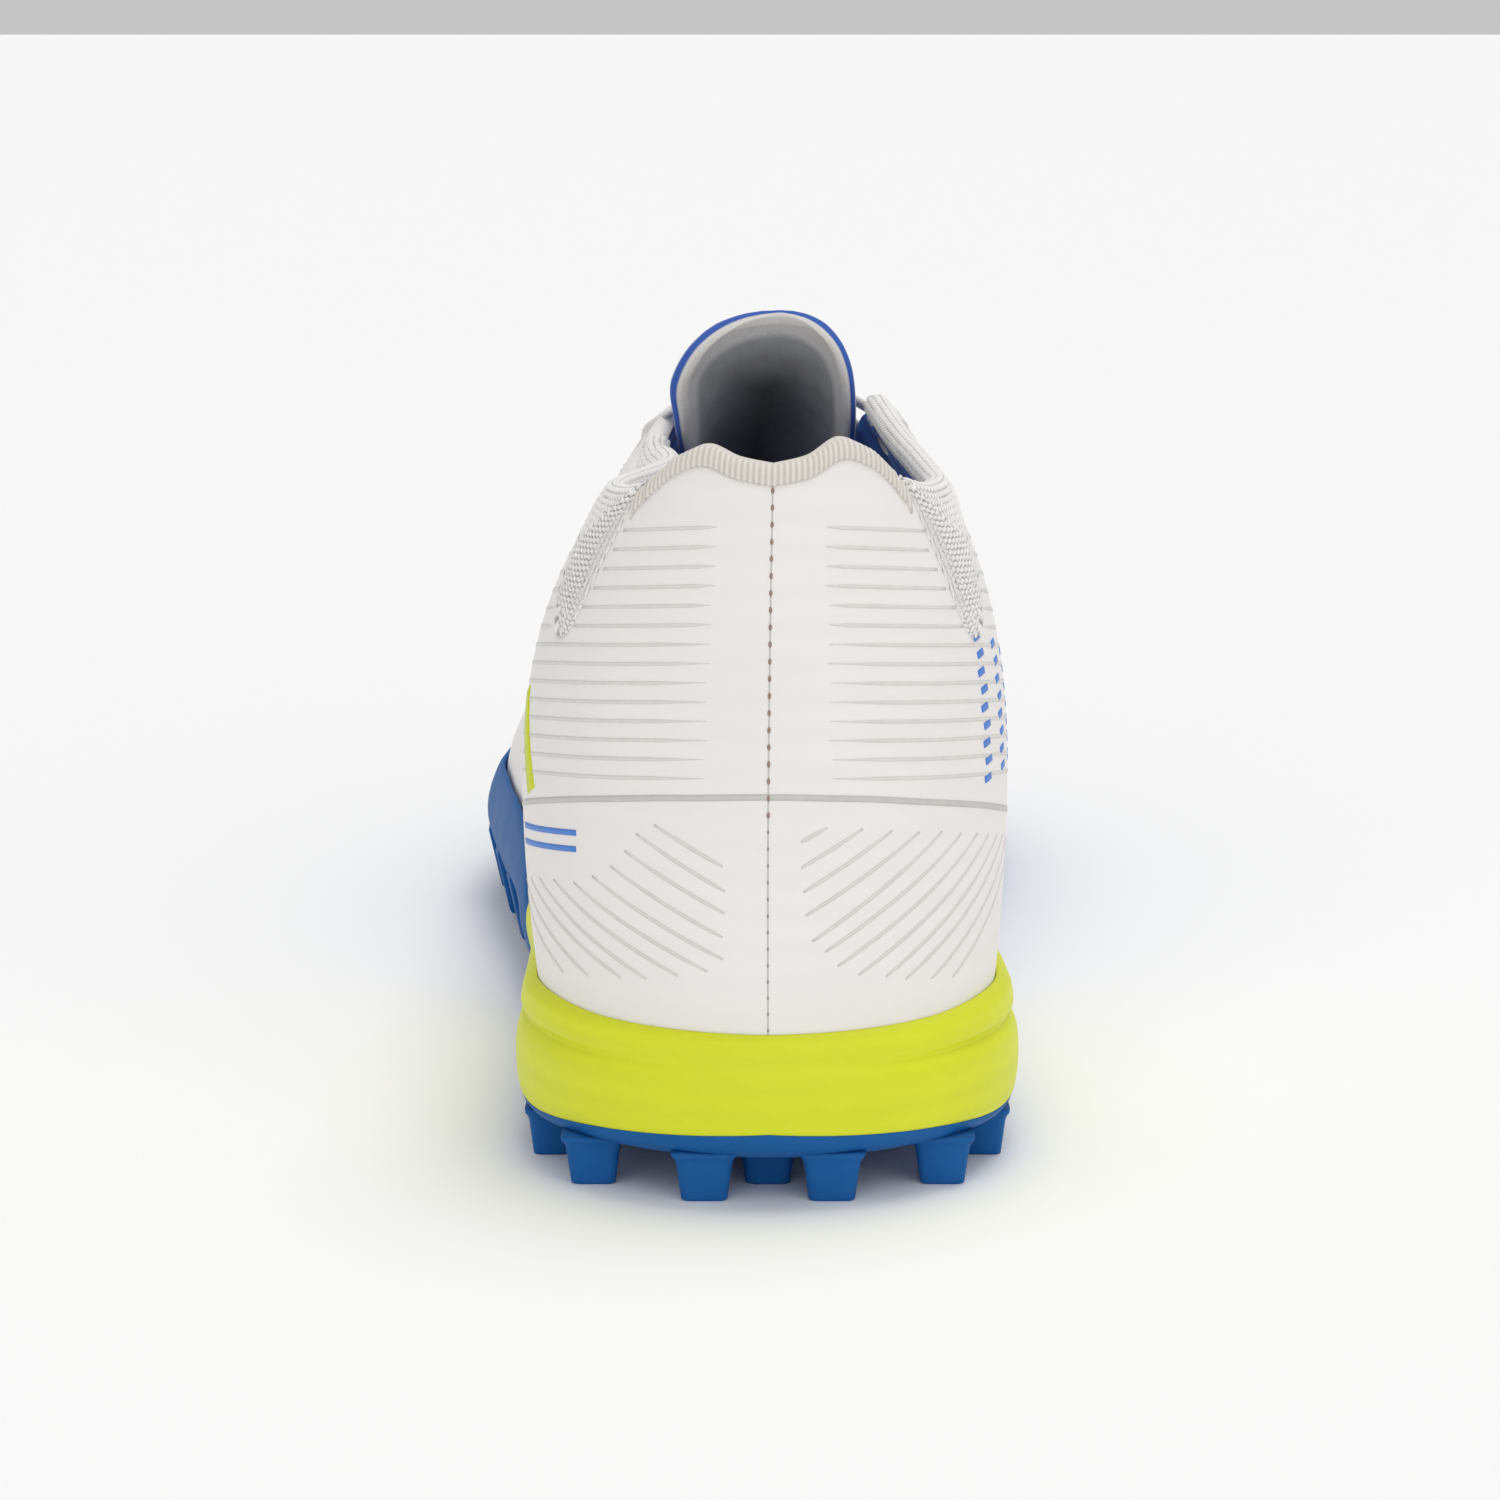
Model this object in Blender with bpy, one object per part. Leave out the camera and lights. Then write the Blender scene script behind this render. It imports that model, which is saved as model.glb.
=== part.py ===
"""Left football shoe for artificial turf, standing empty on its lugs.

Metres, +Z up, toe towards +Y, outer (lateral) side towards -X. The origin is at the middle of the
shoe's box, on the floor. Every piece is worked out from one outline of the sole and one family of
ribs over the last, which run from the sole's edge to the collar, the throat or the vamp's ridge.
"""
import math
from functools import lru_cache

import bmesh
import bpy
import numpy as np

# Driving sizes of the whole shoe
LENGTH = 0.287
BALL_WIDTH = 0.100
SOLE_HEIGHT = 0.0200
INSTEP_HEIGHT = 0.1200
COLLAR_HEIGHT = 0.1055
TONGUE_HEIGHT = 0.1212

# Walls and thicknesses
UPPER_WALL = 0.0020
COLLAR_WALL = 0.0034
KNIT_WALL = 0.0042
TONGUE_WALL = 0.0024
INSOLE_THICKNESS = 0.0034
RUBBER_BASE = 0.0014
RUBBER_EDGE = 0.0010
LUG_HEIGHT = 0.0066

# Trim
BINDING_WIDTH = 0.0022
BINDING_PROUD = 0.0005
EYESTAY_WIDTH = 0.0140
EYESTAY_STEP = 0.0008
EYELET_RADIUS = 0.0018
EYELET_INSET = 0.0062
EYELET_PAIRS = 6
EYELET_DEPTH = 0.0060
LACE_WIDTH = 0.0050
LACE_THICKNESS = 0.0012
LACE_LIFT = 0.0004

# Meeting pieces keep this apart
GAP = 0.0003


def smooth(at, values):
    """A monotone cubic curve through the given points."""
    at = np.asarray(at, float)
    values = np.asarray(values, float)
    step = np.diff(at)
    rise = np.diff(values) / step
    slope = np.zeros_like(values)
    slope[0] = rise[0]
    slope[-1] = rise[-1]
    for i in range(1, len(at) - 1):
        if rise[i - 1] * rise[i] > 0:
            before = 2 * step[i] + step[i - 1]
            after = step[i] + 2 * step[i - 1]
            slope[i] = (before + after) / (before / rise[i - 1] + after / rise[i])

    def curve(x):
        x = np.clip(x, at[0], at[-1])
        i = np.clip(np.searchsorted(at, x) - 1, 0, len(at) - 2)
        t = (x - at[i]) / step[i]
        start = values[i] * (1 + 2 * t) * (1 - t) ** 2 + step[i] * slope[i] * t * (1 - t) ** 2
        end = values[i + 1] * t * t * (3 - 2 * t) + step[i] * slope[i + 1] * t * t * (t - 1)
        return start + end

    return curve


def table(names, *rows):
    """Named columns of numbers. Each column becomes a smooth function of the first one."""
    columns = np.array(rows, float).T
    return {name: smooth(columns[0], column) for name, column in zip(names.split(), columns)}


# Outline of the sole. at: share of LENGTH from the heel; the rest: shares of BALL_WIDTH
PLAN = table(
    "at centre half",
    (0.00, 0.000, 0.385),
    (0.13, 0.000, 0.380),
    (0.25, -0.010, 0.372),
    (0.35, -0.030, 0.362),
    (0.45, -0.060, 0.375),
    (0.55, -0.059, 0.416),
    (0.64, -0.046, 0.469),
    (0.72, -0.036, 0.502),
    (0.80, -0.012, 0.502),
    (0.90, 0.026, 0.474),
    (1.00, 0.055, 0.440),
)
HEEL_ROUND = 0.132
TOE_ROUND = 0.25
TOE_POWER = 2.5
TOE_BLUNT = 2.1

# Heights along the shoe. at: share of LENGTH; underside and footbed: shares of SOLE_HEIGHT;
# ridge: height of the last's middle line, behind the ankle above the collar
ALONG = table(
    "at underside footbed ridge",
    (0.00, 0.330, 1.000, 1.137 * COLLAR_HEIGHT),
    (0.15, 0.310, 1.000, 1.137 * COLLAR_HEIGHT),
    (0.28, 0.350, 0.975, 1.137 * COLLAR_HEIGHT),
    (0.35, 0.400, 0.950, 0.980 * INSTEP_HEIGHT),
    (0.42, 0.450, 0.900, 0.883 * INSTEP_HEIGHT),
    (0.50, 0.400, 0.825, 0.750 * INSTEP_HEIGHT),
    (0.56, 0.330, 0.760, 0.662 * INSTEP_HEIGHT),
    (0.64, 0.300, 0.725, 0.567 * INSTEP_HEIGHT),
    (0.72, 0.300, 0.725, 0.496 * INSTEP_HEIGHT),
    (0.80, 0.360, 0.790, 0.446 * INSTEP_HEIGHT),
    (0.88, 0.575, 0.975, 0.404 * INSTEP_HEIGHT),
    (0.92, 0.725, 1.100, 0.375 * INSTEP_HEIGHT),
    (1.00, 1.000, 1.350, 0.317 * INSTEP_HEIGHT),
)

# Where the upper meets the sole. at: share of the way round one side from heel to toe;
# inset: from the sole's outline, share of BALL_WIDTH
FEATHER = table(
    "at inset",
    (0.00, 0.030),
    (0.07, 0.034),
    (0.16, 0.042),
    (0.27, 0.038),
    (0.36, 0.034),
    (0.40, 0.035),
    (0.55, 0.043),
    (0.70, 0.046),
    (1.00, 0.060),
)

# Ribs of the upper, one curve each with four control points. at: share round the side;
# bulge: outward, share of BALL_WIDTH; up: share of the rib's height; reach: how far in it ends, share
# of the way to the ridge; top: share of the ridge's height; lean: how far in the third point is, share of
# the way to the ridge; drop: that point below the top, share of INSTEP_HEIGHT
RIB_COLUMNS = "at bulge up reach top lean drop"
RIBS = {
    -1: table(
        RIB_COLUMNS,
        (0.00, 0.035, 0.42, 0.27, 0.935, 0.07, 0.217),
        (0.05, 0.033, 0.42, 0.28, 0.935, 0.06, 0.217),
        (0.10, 0.041, 0.47, 0.37, 0.925, 0.00, 0.200),
        (0.17, 0.067, 0.56, 0.53, 0.910, -0.04, 0.175),
        (0.24, 0.060, 0.60, 0.76, 0.905, 0.07, 0.150),
        (0.30, 0.048, 0.61, 0.98, 0.940, 0.23, 0.108),
        (0.36, 0.034, 0.60, 1.00, 0.990, 0.44, 0.067),
        (0.45, 0.028, 0.60, 1.00, 1.000, 0.45, 0.017),
        (0.55, 0.035, 0.62, 1.00, 1.000, 0.48, 0.008),
        (0.70, 0.050, 0.58, 1.00, 1.000, 0.48, 0.008),
        (0.85, 0.034, 0.60, 1.00, 1.000, 0.45, 0.017),
        (1.00, 0.030, 0.70, 1.00, 1.000, 0.50, 0.025),
    ),
    1: table(
        RIB_COLUMNS,
        (0.00, 0.035, 0.42, 0.27, 0.935, 0.07, 0.217),
        (0.05, 0.033, 0.42, 0.28, 0.935, 0.06, 0.217),
        (0.10, 0.036, 0.48, 0.34, 0.925, 0.01, 0.200),
        (0.17, 0.046, 0.55, 0.42, 0.910, -0.05, 0.183),
        (0.24, 0.051, 0.58, 0.55, 0.925, -0.03, 0.167),
        (0.30, 0.054, 0.57, 0.79, 0.970, 0.01, 0.125),
        (0.36, 0.047, 0.56, 0.98, 1.000, 0.14, 0.083),
        (0.45, 0.041, 0.50, 1.00, 1.000, 0.30, 0.025),
        (0.55, 0.030, 0.50, 1.00, 1.000, 0.38, 0.008),
        (0.70, 0.025, 0.54, 1.00, 1.000, 0.42, 0.008),
        (0.85, 0.030, 0.60, 1.00, 1.000, 0.42, 0.017),
        (1.00, 0.030, 0.70, 1.00, 1.000, 0.50, 0.025),
    ),
}
# The ribs fan out around the heel and the toe
HEEL_FAN = 0.139
HEEL_FAN_END = 0.216
TOE_FAN_START = 0.749
TOE_FAN = 0.36
RIDGE_SWAY = 0.6
RIDGE_OFFSET = 0.030

# Height of the collar's edge. at: share round the side; height: share of COLLAR_HEIGHT
TOPLINE = {
    -1: table(
        "at height",
        (0.000, 1.000),
        (0.020, 1.008),
        (0.042, 1.024),
        (0.060, 1.010),
        (0.080, 0.976),
        (0.110, 0.961),
        (0.160, 0.957),
        (0.230, 0.957),
        (0.280, 0.957),
        (0.320, 0.958),
        (0.360, 0.980),
        (0.400, 1.070),
    ),
    1: table(
        "at height",
        (0.000, 1.000),
        (0.020, 1.009),
        (0.044, 1.033),
        (0.062, 1.020),
        (0.085, 0.981),
        (0.120, 0.963),
        (0.170, 0.963),
        (0.230, 0.985),
        (0.280, 1.022),
        (0.320, 1.052),
        (0.360, 1.090),
        (0.400, 1.194),
    ),
}

# Half of the throat's breadth. at: share round the side; half: share of BALL_WIDTH
THROAT = table(
    "at half",
    (0.300, 0.175),
    (0.360, 0.165),
    (0.450, 0.145),
    (0.520, 0.135),
    (0.575, 0.130),
)
THROAT_START = 0.300
THROAT_END = 0.575
THROAT_ROUND = 0.050
COLLAR_END = 0.42
THROAT_BLEND = 0.006

# The knit collar's lower seam. at: share round the side; drop: below the collar's edge, measured
# down the wall, share of COLLAR_HEIGHT
SEAM = table(
    "at drop",
    (0.080, 0.004),
    (0.088, 0.012),
    (0.096, 0.052),
    (0.105, 0.104),
    (0.113, 0.152),
    (0.120, 0.195),
    (0.126, 0.216),
    (0.132, 0.198),
    (0.138, 0.142),
    (0.144, 0.096),
    (0.152, 0.068),
    (0.170, 0.050),
    (0.200, 0.045),
    (0.330, 0.045),
)
KNIT_START = 0.088
KNIT_END = 0.320
BINDING_END = 0.088

# The sole's side. at: share round the side; rim: top of the midsole above the footbed; edge: top of
# the rubber above the footbed; widest: the rubber's widest line below its top edge; base: inset of the
# rubber's lower corner; widest_in and edge_in: insets of those two lines; tray: inset of the rubber's
# inner face. Heights are shares of SOLE_HEIGHT and insets are shares of BALL_WIDTH
SOLE_SIDE = table(
    "at rim edge widest base widest_in edge_in tray",
    (0.00, 0.275, -0.430, 0.040, 0.040, 0.009, 0.008, 0.023),
    (0.08, 0.290, -0.500, 0.040, 0.034, 0.009, 0.008, 0.023),
    (0.14, 0.325, -0.560, 0.030, 0.030, 0.009, 0.008, 0.023),
    (0.28, 0.325, -0.535, 0.030, 0.030, 0.009, 0.008, 0.023),
    (0.36, 0.300, -0.460, 0.060, 0.032, 0.008, 0.009, 0.024),
    (0.43, 0.220, -0.080, 0.200, 0.036, 0.003, 0.014, 0.025),
    (0.49, 0.110, 0.380, 0.360, 0.038, 0.000, 0.018, 0.027),
    (0.56, 0.050, 0.570, 0.400, 0.040, 0.000, 0.020, 0.030),
    (0.75, 0.050, 0.600, 0.400, 0.040, 0.000, 0.020, 0.030),
    (0.90, 0.050, 0.560, 0.380, 0.042, 0.000, 0.022, 0.033),
    (1.00, 0.050, 0.520, 0.350, 0.042, 0.000, 0.024, 0.036),
)
# How far in the rubber's side is halfway down to its lower corner, share of that corner's inset
SIDE_HOLLOW = 0.30
# The midsole's side, from its lower edge to its rim. at: share of that height; inset: share of
# BALL_WIDTH
FOAM_SIDE = (
    (0.00, 0.008),
    (0.20, 0.001),
    (0.40, 0.000),
    (0.50, 0.006),
    (0.55, 0.017),
    (0.62, 0.010),
    (0.85, 0.012),
)
FOAM_SIDE_BACK_GROOVE = 0.25
FOAM_HIDDEN_HEIGHT = 0.0050
FOAM_FADE_START = 0.0028
FOAM_FADE = 0.0040
RIM_THICKNESS = 0.0010
# The rubber's lip over the midsole's rim at the forefoot
LIP_THICKNESS = 0.0013
LIP_FADE = 0.0030
LEDGE_LIFT = 0.0012

# Rows of lugs. at: share of LENGTH; span: place of the outer lugs either side of the middle, share of
# BALL_WIDTH; count: lugs in the row; size: share of LUG_SIZE
LUG_SIZE = 0.0090
LUG_TAPER = 0.78
LUG_SINK = 0.0008
LUG_ROWS = (
    (0.030, 0.092, 2, 0.95),
    (0.058, 0.255, 3, 0.92),
    (0.108, 0.322, 4, 0.80),
    (0.162, 0.240, 3, 0.95),
    (0.216, 0.300, 3, 0.95),
    (0.275, 0.220, 2, 0.95),
    (0.465, 0.280, 3, 0.95),
    (0.525, 0.230, 2, 0.95),
    (0.585, 0.300, 3, 1.00),
    (0.645, 0.370, 4, 1.00),
    (0.705, 0.270, 3, 1.00),
    (0.765, 0.370, 4, 1.00),
    (0.822, 0.250, 3, 1.00),
    (0.876, 0.290, 3, 0.95),
    (0.926, 0.160, 2, 0.90),
)
# Wedges up the forefoot's side, between these shares round the side
SIDE_RIBS = 7
SIDE_RIB_START = 0.53
SIDE_RIB_END = 0.93
SIDE_RIB_WIDTH = 0.0056
SIDE_RIB_HEIGHT = 0.0125
SIDE_RIB_FOOT = 0.0016
SIDE_RIB_PROUD = 0.0010
SIDE_RIB_TOP_INSET = 0.0004
SIDE_RIB_FOOT_DEPTH = 0.0028
SIDE_RIB_TOP_DEPTH = 0.0012

# The tongue's middle line, from its top. y: share of LENGTH; z: height; x: share of BALL_WIDTH
TONGUE_LINE = (
    (0.308, 1.000 * TONGUE_HEIGHT, 0.022),
    (0.345, 0.900 * TONGUE_HEIGHT, 0.010),
    (0.400, 0.831 * INSTEP_HEIGHT, -0.012),
    (0.470, 0.718 * INSTEP_HEIGHT, -0.022),
    (0.560, 0.583 * INSTEP_HEIGHT, -0.024),
    (0.640, 0.485 * INSTEP_HEIGHT, -0.020),
)
# Its curl. at: share of the middle line from the top; half_angle: in degrees; radius: share of
# BALL_WIDTH; skew: breadth of the lateral half to the medial half's
TONGUE_CURL = table(
    "at half_angle radius skew",
    (0.000, 2.0, 0.120, 1.36),
    (0.004, 20.0, 0.120, 1.36),
    (0.016, 40.0, 0.121, 1.36),
    (0.034, 55.0, 0.123, 1.36),
    (0.066, 68.0, 0.125, 1.36),
    (0.120, 76.0, 0.128, 1.22),
    (0.200, 80.0, 0.132, 1.04),
    (0.350, 70.0, 0.142, 1.00),
    (0.600, 52.0, 0.195, 1.00),
    (1.000, 38.0, 0.270, 1.00),
)
TONGUE_ROWS = (0.000, 0.004, 0.016, 0.034, 0.066, 0.120, 0.200, 0.290, 0.400, 0.520, 0.680, 0.840, 1.000)
TONGUE_COLUMNS = 11

# Stations round one side, from the heel's middle to the toe's
HEEL_STATIONS = (0.000, 0.022, 0.044, 0.062, 0.080)
SEAM_STATIONS = (0.088, 0.096, 0.105, 0.113, 0.120, 0.126, 0.132, 0.138, 0.144, 0.152)
QUARTER_STATIONS = (0.170, 0.200, 0.235, 0.270, 0.300, 0.320, 0.340, 0.365, 0.400, 0.440, 0.480)
THROAT_STATIONS = (0.510, 0.530, 0.545, 0.557, 0.566, 0.572, 0.575)
VAMP_STATIONS = (0.605, 0.645, 0.690, 0.735, 0.780, 0.820, 0.858, 0.893, 0.928, 0.964, 1.000)
UPPER_STATIONS = HEEL_STATIONS + SEAM_STATIONS + QUARTER_STATIONS + THROAT_STATIONS + VAMP_STATIONS
SOLE_STATIONS = tuple(sorted(
    HEEL_STATIONS + QUARTER_STATIONS + VAMP_STATIONS
    + (0.096, 0.113, 0.132, 0.152, 0.420, 0.460, 0.530, 0.566)
))
UPPER_ROWS = (0.00, 0.12, 0.32, 0.56, 0.82)


# The last

def end_round(at):
    """How much of the full breadth is left where the heel and the toe round off."""
    heel = 1 - np.clip(1 - at / HEEL_ROUND, 0, 1) ** 2
    toe = 1 - np.clip((at - 1 + TOE_ROUND) / TOE_ROUND, 0, 1) ** TOE_POWER
    return np.sqrt(np.clip(heel, 0, 1)) * np.clip(toe, 0, 1) ** (1 / TOE_BLUNT)


@lru_cache(None)
def side_line(side):
    """One side of the sole's outline, with each point's share of the way from heel to toe."""
    at = (1 - np.cos(np.linspace(0, math.pi, 1200))) / 2
    x = (PLAN["centre"](at) + side * PLAN["half"](at) * end_round(at)) * BALL_WIDTH
    points = np.c_[x, at * LENGTH]
    length = np.r_[0, np.cumsum(np.hypot(*np.diff(points, axis=0).T))]
    return points, length / length[-1]


def side_of(s):
    return 1 if s > 0 else -1


def wrap(s):
    """Stations run from -1, the toe, by 0, the heel, to 1, the toe again."""
    return (s + 1) % 2 - 1


def edge_point(s):
    points, share = side_line(side_of(s))
    return np.array([np.interp(abs(s), share, points[:, k]) for k in (0, 1)])


@lru_cache(None)
def outline(s):
    """A point of the sole's outline and its outward direction."""
    ahead = edge_point(wrap(s + 0.002))
    behind = edge_point(wrap(s - 0.002))
    along = (ahead - behind) / np.linalg.norm(ahead - behind)
    return edge_point(s), np.array([along[1], -along[0]])


def inset_point(s, inset, height):
    """A point in from the outline. height is a number, or a function of the point's own y."""
    point, outward = outline(s)
    x, y = point - outward * inset
    return (x, y, height(y) if callable(height) else height)


def underside(y):
    return ALONG["underside"](y / LENGTH) * SOLE_HEIGHT


def footbed(y):
    return ALONG["footbed"](y / LENGTH) * SOLE_HEIGHT


def ridge(y):
    """The last's middle line over the instep and toe."""
    x = (PLAN["centre"](y / LENGTH) * RIDGE_SWAY + RIDGE_OFFSET) * BALL_WIDTH
    return np.array([x, y, float(ALONG["ridge"](y / LENGTH))])


def aim(u):
    """The point of the ridge that the two ribs of a station lean towards."""
    at = (edge_point(u)[1] + edge_point(-u)[1]) / 2 / LENGTH
    back = HEEL_FAN * max(0, 1 - at / HEEL_FAN_END) ** 2
    pull = TOE_FAN * max(0, at - TOE_FAN_START) ** 2 / (1 - TOE_FAN_START)
    return ridge((at + back - pull) * LENGTH)


class Rib:
    """One curve over the last, from the sole's edge inwards, measured by the length along it."""

    def __init__(self, s):
        side, u = side_of(s), abs(s)
        value = {name: float(column(u)) for name, column in RIBS[side].items()}
        foot, outward = outline(s)
        foot = foot - outward * FEATHER["inset"](u) * BALL_WIDTH
        target = aim(u)
        inward = target[:2] - foot
        span = np.linalg.norm(inward)
        inward = inward / span
        base = footbed(foot[1]) + GAP
        top = base + (target[2] * value["top"] - base)
        lean = min(value["lean"], value["reach"] * 0.9)
        control = np.array([
            (0, base),
            (-value["bulge"] * BALL_WIDTH, base + value["up"] * (top - base)),
            (lean * span, top - value["drop"] * INSTEP_HEIGHT),
            (value["reach"] * span, top),
        ])
        t = np.linspace(0, 1, 160)[:, None]
        curve = ((1 - t) ** 3 * control[0] + 3 * t * (1 - t) ** 2 * control[1]
                 + 3 * t * t * (1 - t) * control[2] + t ** 3 * control[3])
        level = foot + inward * curve[:, :1]
        self.points = np.c_[level, curve[:, 1]]
        self.length = np.r_[0, np.cumsum(np.linalg.norm(np.diff(curve, axis=0), axis=1))]
        self.full = self.length[-1]
        self.top = self.trimmed(side, u, span, curve)

    def trimmed(self, side, u, span, curve):
        """Length up to the collar's edge or the throat's, whichever comes first."""
        if u >= THROAT_END:
            return self.full
        collar = throat = self.full + THROAT_BLEND
        if u < COLLAR_END:
            height = TOPLINE[side]["height"](u) * COLLAR_HEIGHT
            if height < curve[-1, 1]:
                collar = np.interp(height, curve[:, 1], self.length)
        if u >= THROAT_START:
            front = np.clip((u - THROAT_END + THROAT_ROUND) / THROAT_ROUND, 0, 1)
            half = THROAT["half"](u) * BALL_WIDTH * math.sqrt(1 - front ** 2)
            if span - half < curve[-1, 0]:
                throat = np.interp(span - half, curve[:, 0], self.length)
        near = np.clip(0.5 + 0.5 * (throat - collar) / THROAT_BLEND, 0, 1)
        both = throat * (1 - near) + collar * near - THROAT_BLEND * near * (1 - near)
        return float(min(both, self.full))

    def at(self, length):
        return np.array([np.interp(length, self.length, self.points[:, k]) for k in range(3)])


@lru_cache(None)
def rib(s):
    return Rib(s)


def skin(s, length):
    """The outer face at a station, this far up its rib. Past the ridge it goes down the other side."""
    s = wrap(s)
    full = rib(s).full
    if length > full:
        return rib(wrap(-s)).at(rib(wrap(-s)).full - (length - full))
    return rib(s).at(length)


@lru_cache(None)
def outward(s, length):
    """Unit normal of the outer face."""
    full = rib(wrap(s)).full
    share = length / full
    step = 0.004
    ahead, behind = wrap(s + step), wrap(s - step)
    along = skin(ahead, share * rib(ahead).full) - skin(behind, share * rib(behind).full)
    above = length + 0.001
    if abs(wrap(s)) == 1:
        out = outline(wrap(s))[1]
        along = np.array([-out[1], out[0], 0])
        above = min(above, full)
    up = skin(s, above) - skin(s, max(0.0, length - 0.001))
    normal = np.cross(along, up)
    return normal / np.linalg.norm(normal)


def wall(s, length, lift=0.0):
    """A point this far outside the outer face, or inside where lift is negative."""
    return skin(s, length) + outward(s, length) * lift


def skin_inset(s, height):
    """How far in from the sole's outline the upper's outer face is at a height."""
    here = rib(s)
    side_point, direction = outline(s)
    low = here.points[:40]
    point = np.array([np.interp(height, low[:, 2], low[:, k]) for k in (0, 1)])
    return float(np.dot(side_point - point, direction))


def seam_length(s):
    """Length up to the knit collar's lower seam, which is the collar's edge behind it."""
    u = abs(s)
    start, end = SEAM_STATIONS[0] - 0.008, KNIT_END
    if u < start or u > end:
        return rib(s).top
    return rib(s).top - float(SEAM["drop"](u)) * COLLAR_HEIGHT


def seam_slope(s):
    """How much longer a band's height is where the seam runs steeply."""
    step = 0.004
    ahead, behind = abs(s) + step, max(abs(s) - step, 0.0)
    side = side_of(s)
    rise = seam_length(side * ahead) - rib(side * ahead).top
    rise -= seam_length(side * behind) - rib(side * behind).top
    edges = [skin(side * u, rib(side * u).top) for u in (ahead, behind)]
    run = np.linalg.norm(edges[0] - edges[1])
    return math.hypot(1, rise / max(run, 0.001))


def binding_height(s):
    return BINDING_WIDTH * seam_slope(s) if abs(s) <= BINDING_END + 1e-6 else 0.0


def upper_top(s):
    """Length up to the upper's own edge, under the binding and the knit collar."""
    below = binding_height(s) + GAP if abs(s) <= BINDING_END + 1e-6 else 0.0
    return seam_length(s) - below


# Mesh tools

def add_object(name, points, faces, material, parent):
    mesh = bpy.data.meshes.new(name)
    mesh.from_pydata([tuple(p) for p in points], [], faces)
    work = bmesh.new()
    work.from_mesh(mesh)
    bmesh.ops.remove_doubles(work, verts=work.verts, dist=1e-6)
    bmesh.ops.triangulate(work, faces=work.faces)
    bmesh.ops.recalc_face_normals(work, faces=work.faces)
    work.to_mesh(mesh)
    work.free()
    mesh.materials.append(material)
    thing = bpy.data.objects.new(name, mesh)
    bpy.context.collection.objects.link(thing)
    thing.parent = parent
    return thing


def grid_faces(columns, rows, closed, start=0, flip=False):
    faces = []
    for i in range(columns if closed else columns - 1):
        for j in range(rows - 1):
            a = start + i * rows + j
            b = start + ((i + 1) % columns) * rows + j
            face = (a, b, b + 1, a + 1)
            faces.append(face[::-1] if flip else face)
    return faces


def shell(outer, inner, closed):
    """Points and faces of a closed wall between two grids, each a list of columns."""
    columns, rows = len(outer), len(outer[0])
    half = columns * rows
    points = [p for column in outer for p in column] + [p for column in inner for p in column]
    faces = grid_faces(columns, rows, closed) + grid_faces(columns, rows, closed, half, True)
    for i in range(columns if closed else columns - 1):
        k = (i + 1) % columns
        for j in (0, rows - 1):
            a, b = i * rows + j, k * rows + j
            faces.append((a, b, b + half, a + half))
    if not closed:
        for i in (0, columns - 1):
            for j in range(rows - 1):
                a = i * rows + j
                faces.append((a, a + 1, a + 1 + half, a + half))
    return points, faces


def ring(stations):
    """Signed stations all the way round, from the toe by the lateral side and the heel to the toe."""
    return [-u for u in reversed(stations)] + [u for u in stations if 0 < u < 1]


def loft(name, profile, stations, material, parent):
    """A closed solid round the outline. profile gives each station's points, lowest loop first."""
    around = ring(stations)
    columns = [profile(s) for s in around]
    rows = len(columns[0])
    points = [p for column in columns for p in column]
    faces = grid_faces(len(columns), rows, True)
    count = len(around)
    last = len(stations) - 1
    for j in (0, rows - 1):
        for k in range(last):
            outer_lateral, inner_lateral = k, k + 1
            outer_medial, inner_medial = (count - k) % count, count - k - 1
            loop = [outer_lateral, inner_lateral, inner_medial, outer_medial]
            loop = list(dict.fromkeys(i % count for i in loop))
            faces.append(tuple(i * rows + j for i in loop))
    return add_object(name, points, faces, material, parent)


def frustum(name, base, tip, material, parent):
    """A tapered block between two four-sided outlines."""
    faces = [(3, 2, 1, 0), (4, 5, 6, 7)] + [(i, (i + 1) % 4, (i + 1) % 4 + 4, i + 4) for i in range(4)]
    return add_object(name, list(base) + list(tip), faces, material, parent)


def join_by_union(target, others):
    """Joins crossing solids into one closed body."""
    work = bmesh.new()
    for other in others:
        work.from_mesh(other.data)
    mesh = bpy.data.meshes.new(target.name + "_parts")
    work.to_mesh(mesh)
    work.free()
    for other in others:
        bpy.data.objects.remove(other)
    tool = bpy.data.objects.new(target.name + "_parts", mesh)
    bpy.context.collection.objects.link(tool)
    tool.parent = target.parent
    apply_boolean(target, tool, "UNION")


def apply_boolean(target, tool, operation):
    change = target.modifiers.new(operation.lower(), "BOOLEAN")
    change.operation = operation
    change.solver = "EXACT"
    change.use_self = operation == "UNION"
    change.object = tool
    bpy.context.view_layer.update()
    graph = bpy.context.evaluated_depsgraph_get()
    mesh = bpy.data.meshes.new_from_object(target.evaluated_get(graph))
    target.modifiers.clear()
    target.data = mesh
    bpy.data.objects.remove(tool)


def material(name, colour, roughness):
    made = bpy.data.materials.new(name)
    made.use_nodes = True
    shader = made.node_tree.nodes["Principled BSDF"]
    shader.inputs["Base Color"].default_value = (*colour, 1)
    shader.inputs["Roughness"].default_value = roughness
    shader.inputs["Metallic"].default_value = 0
    return made


# Sole

def sole_value(name, s):
    return float(SOLE_SIDE[name](abs(s)))


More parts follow.
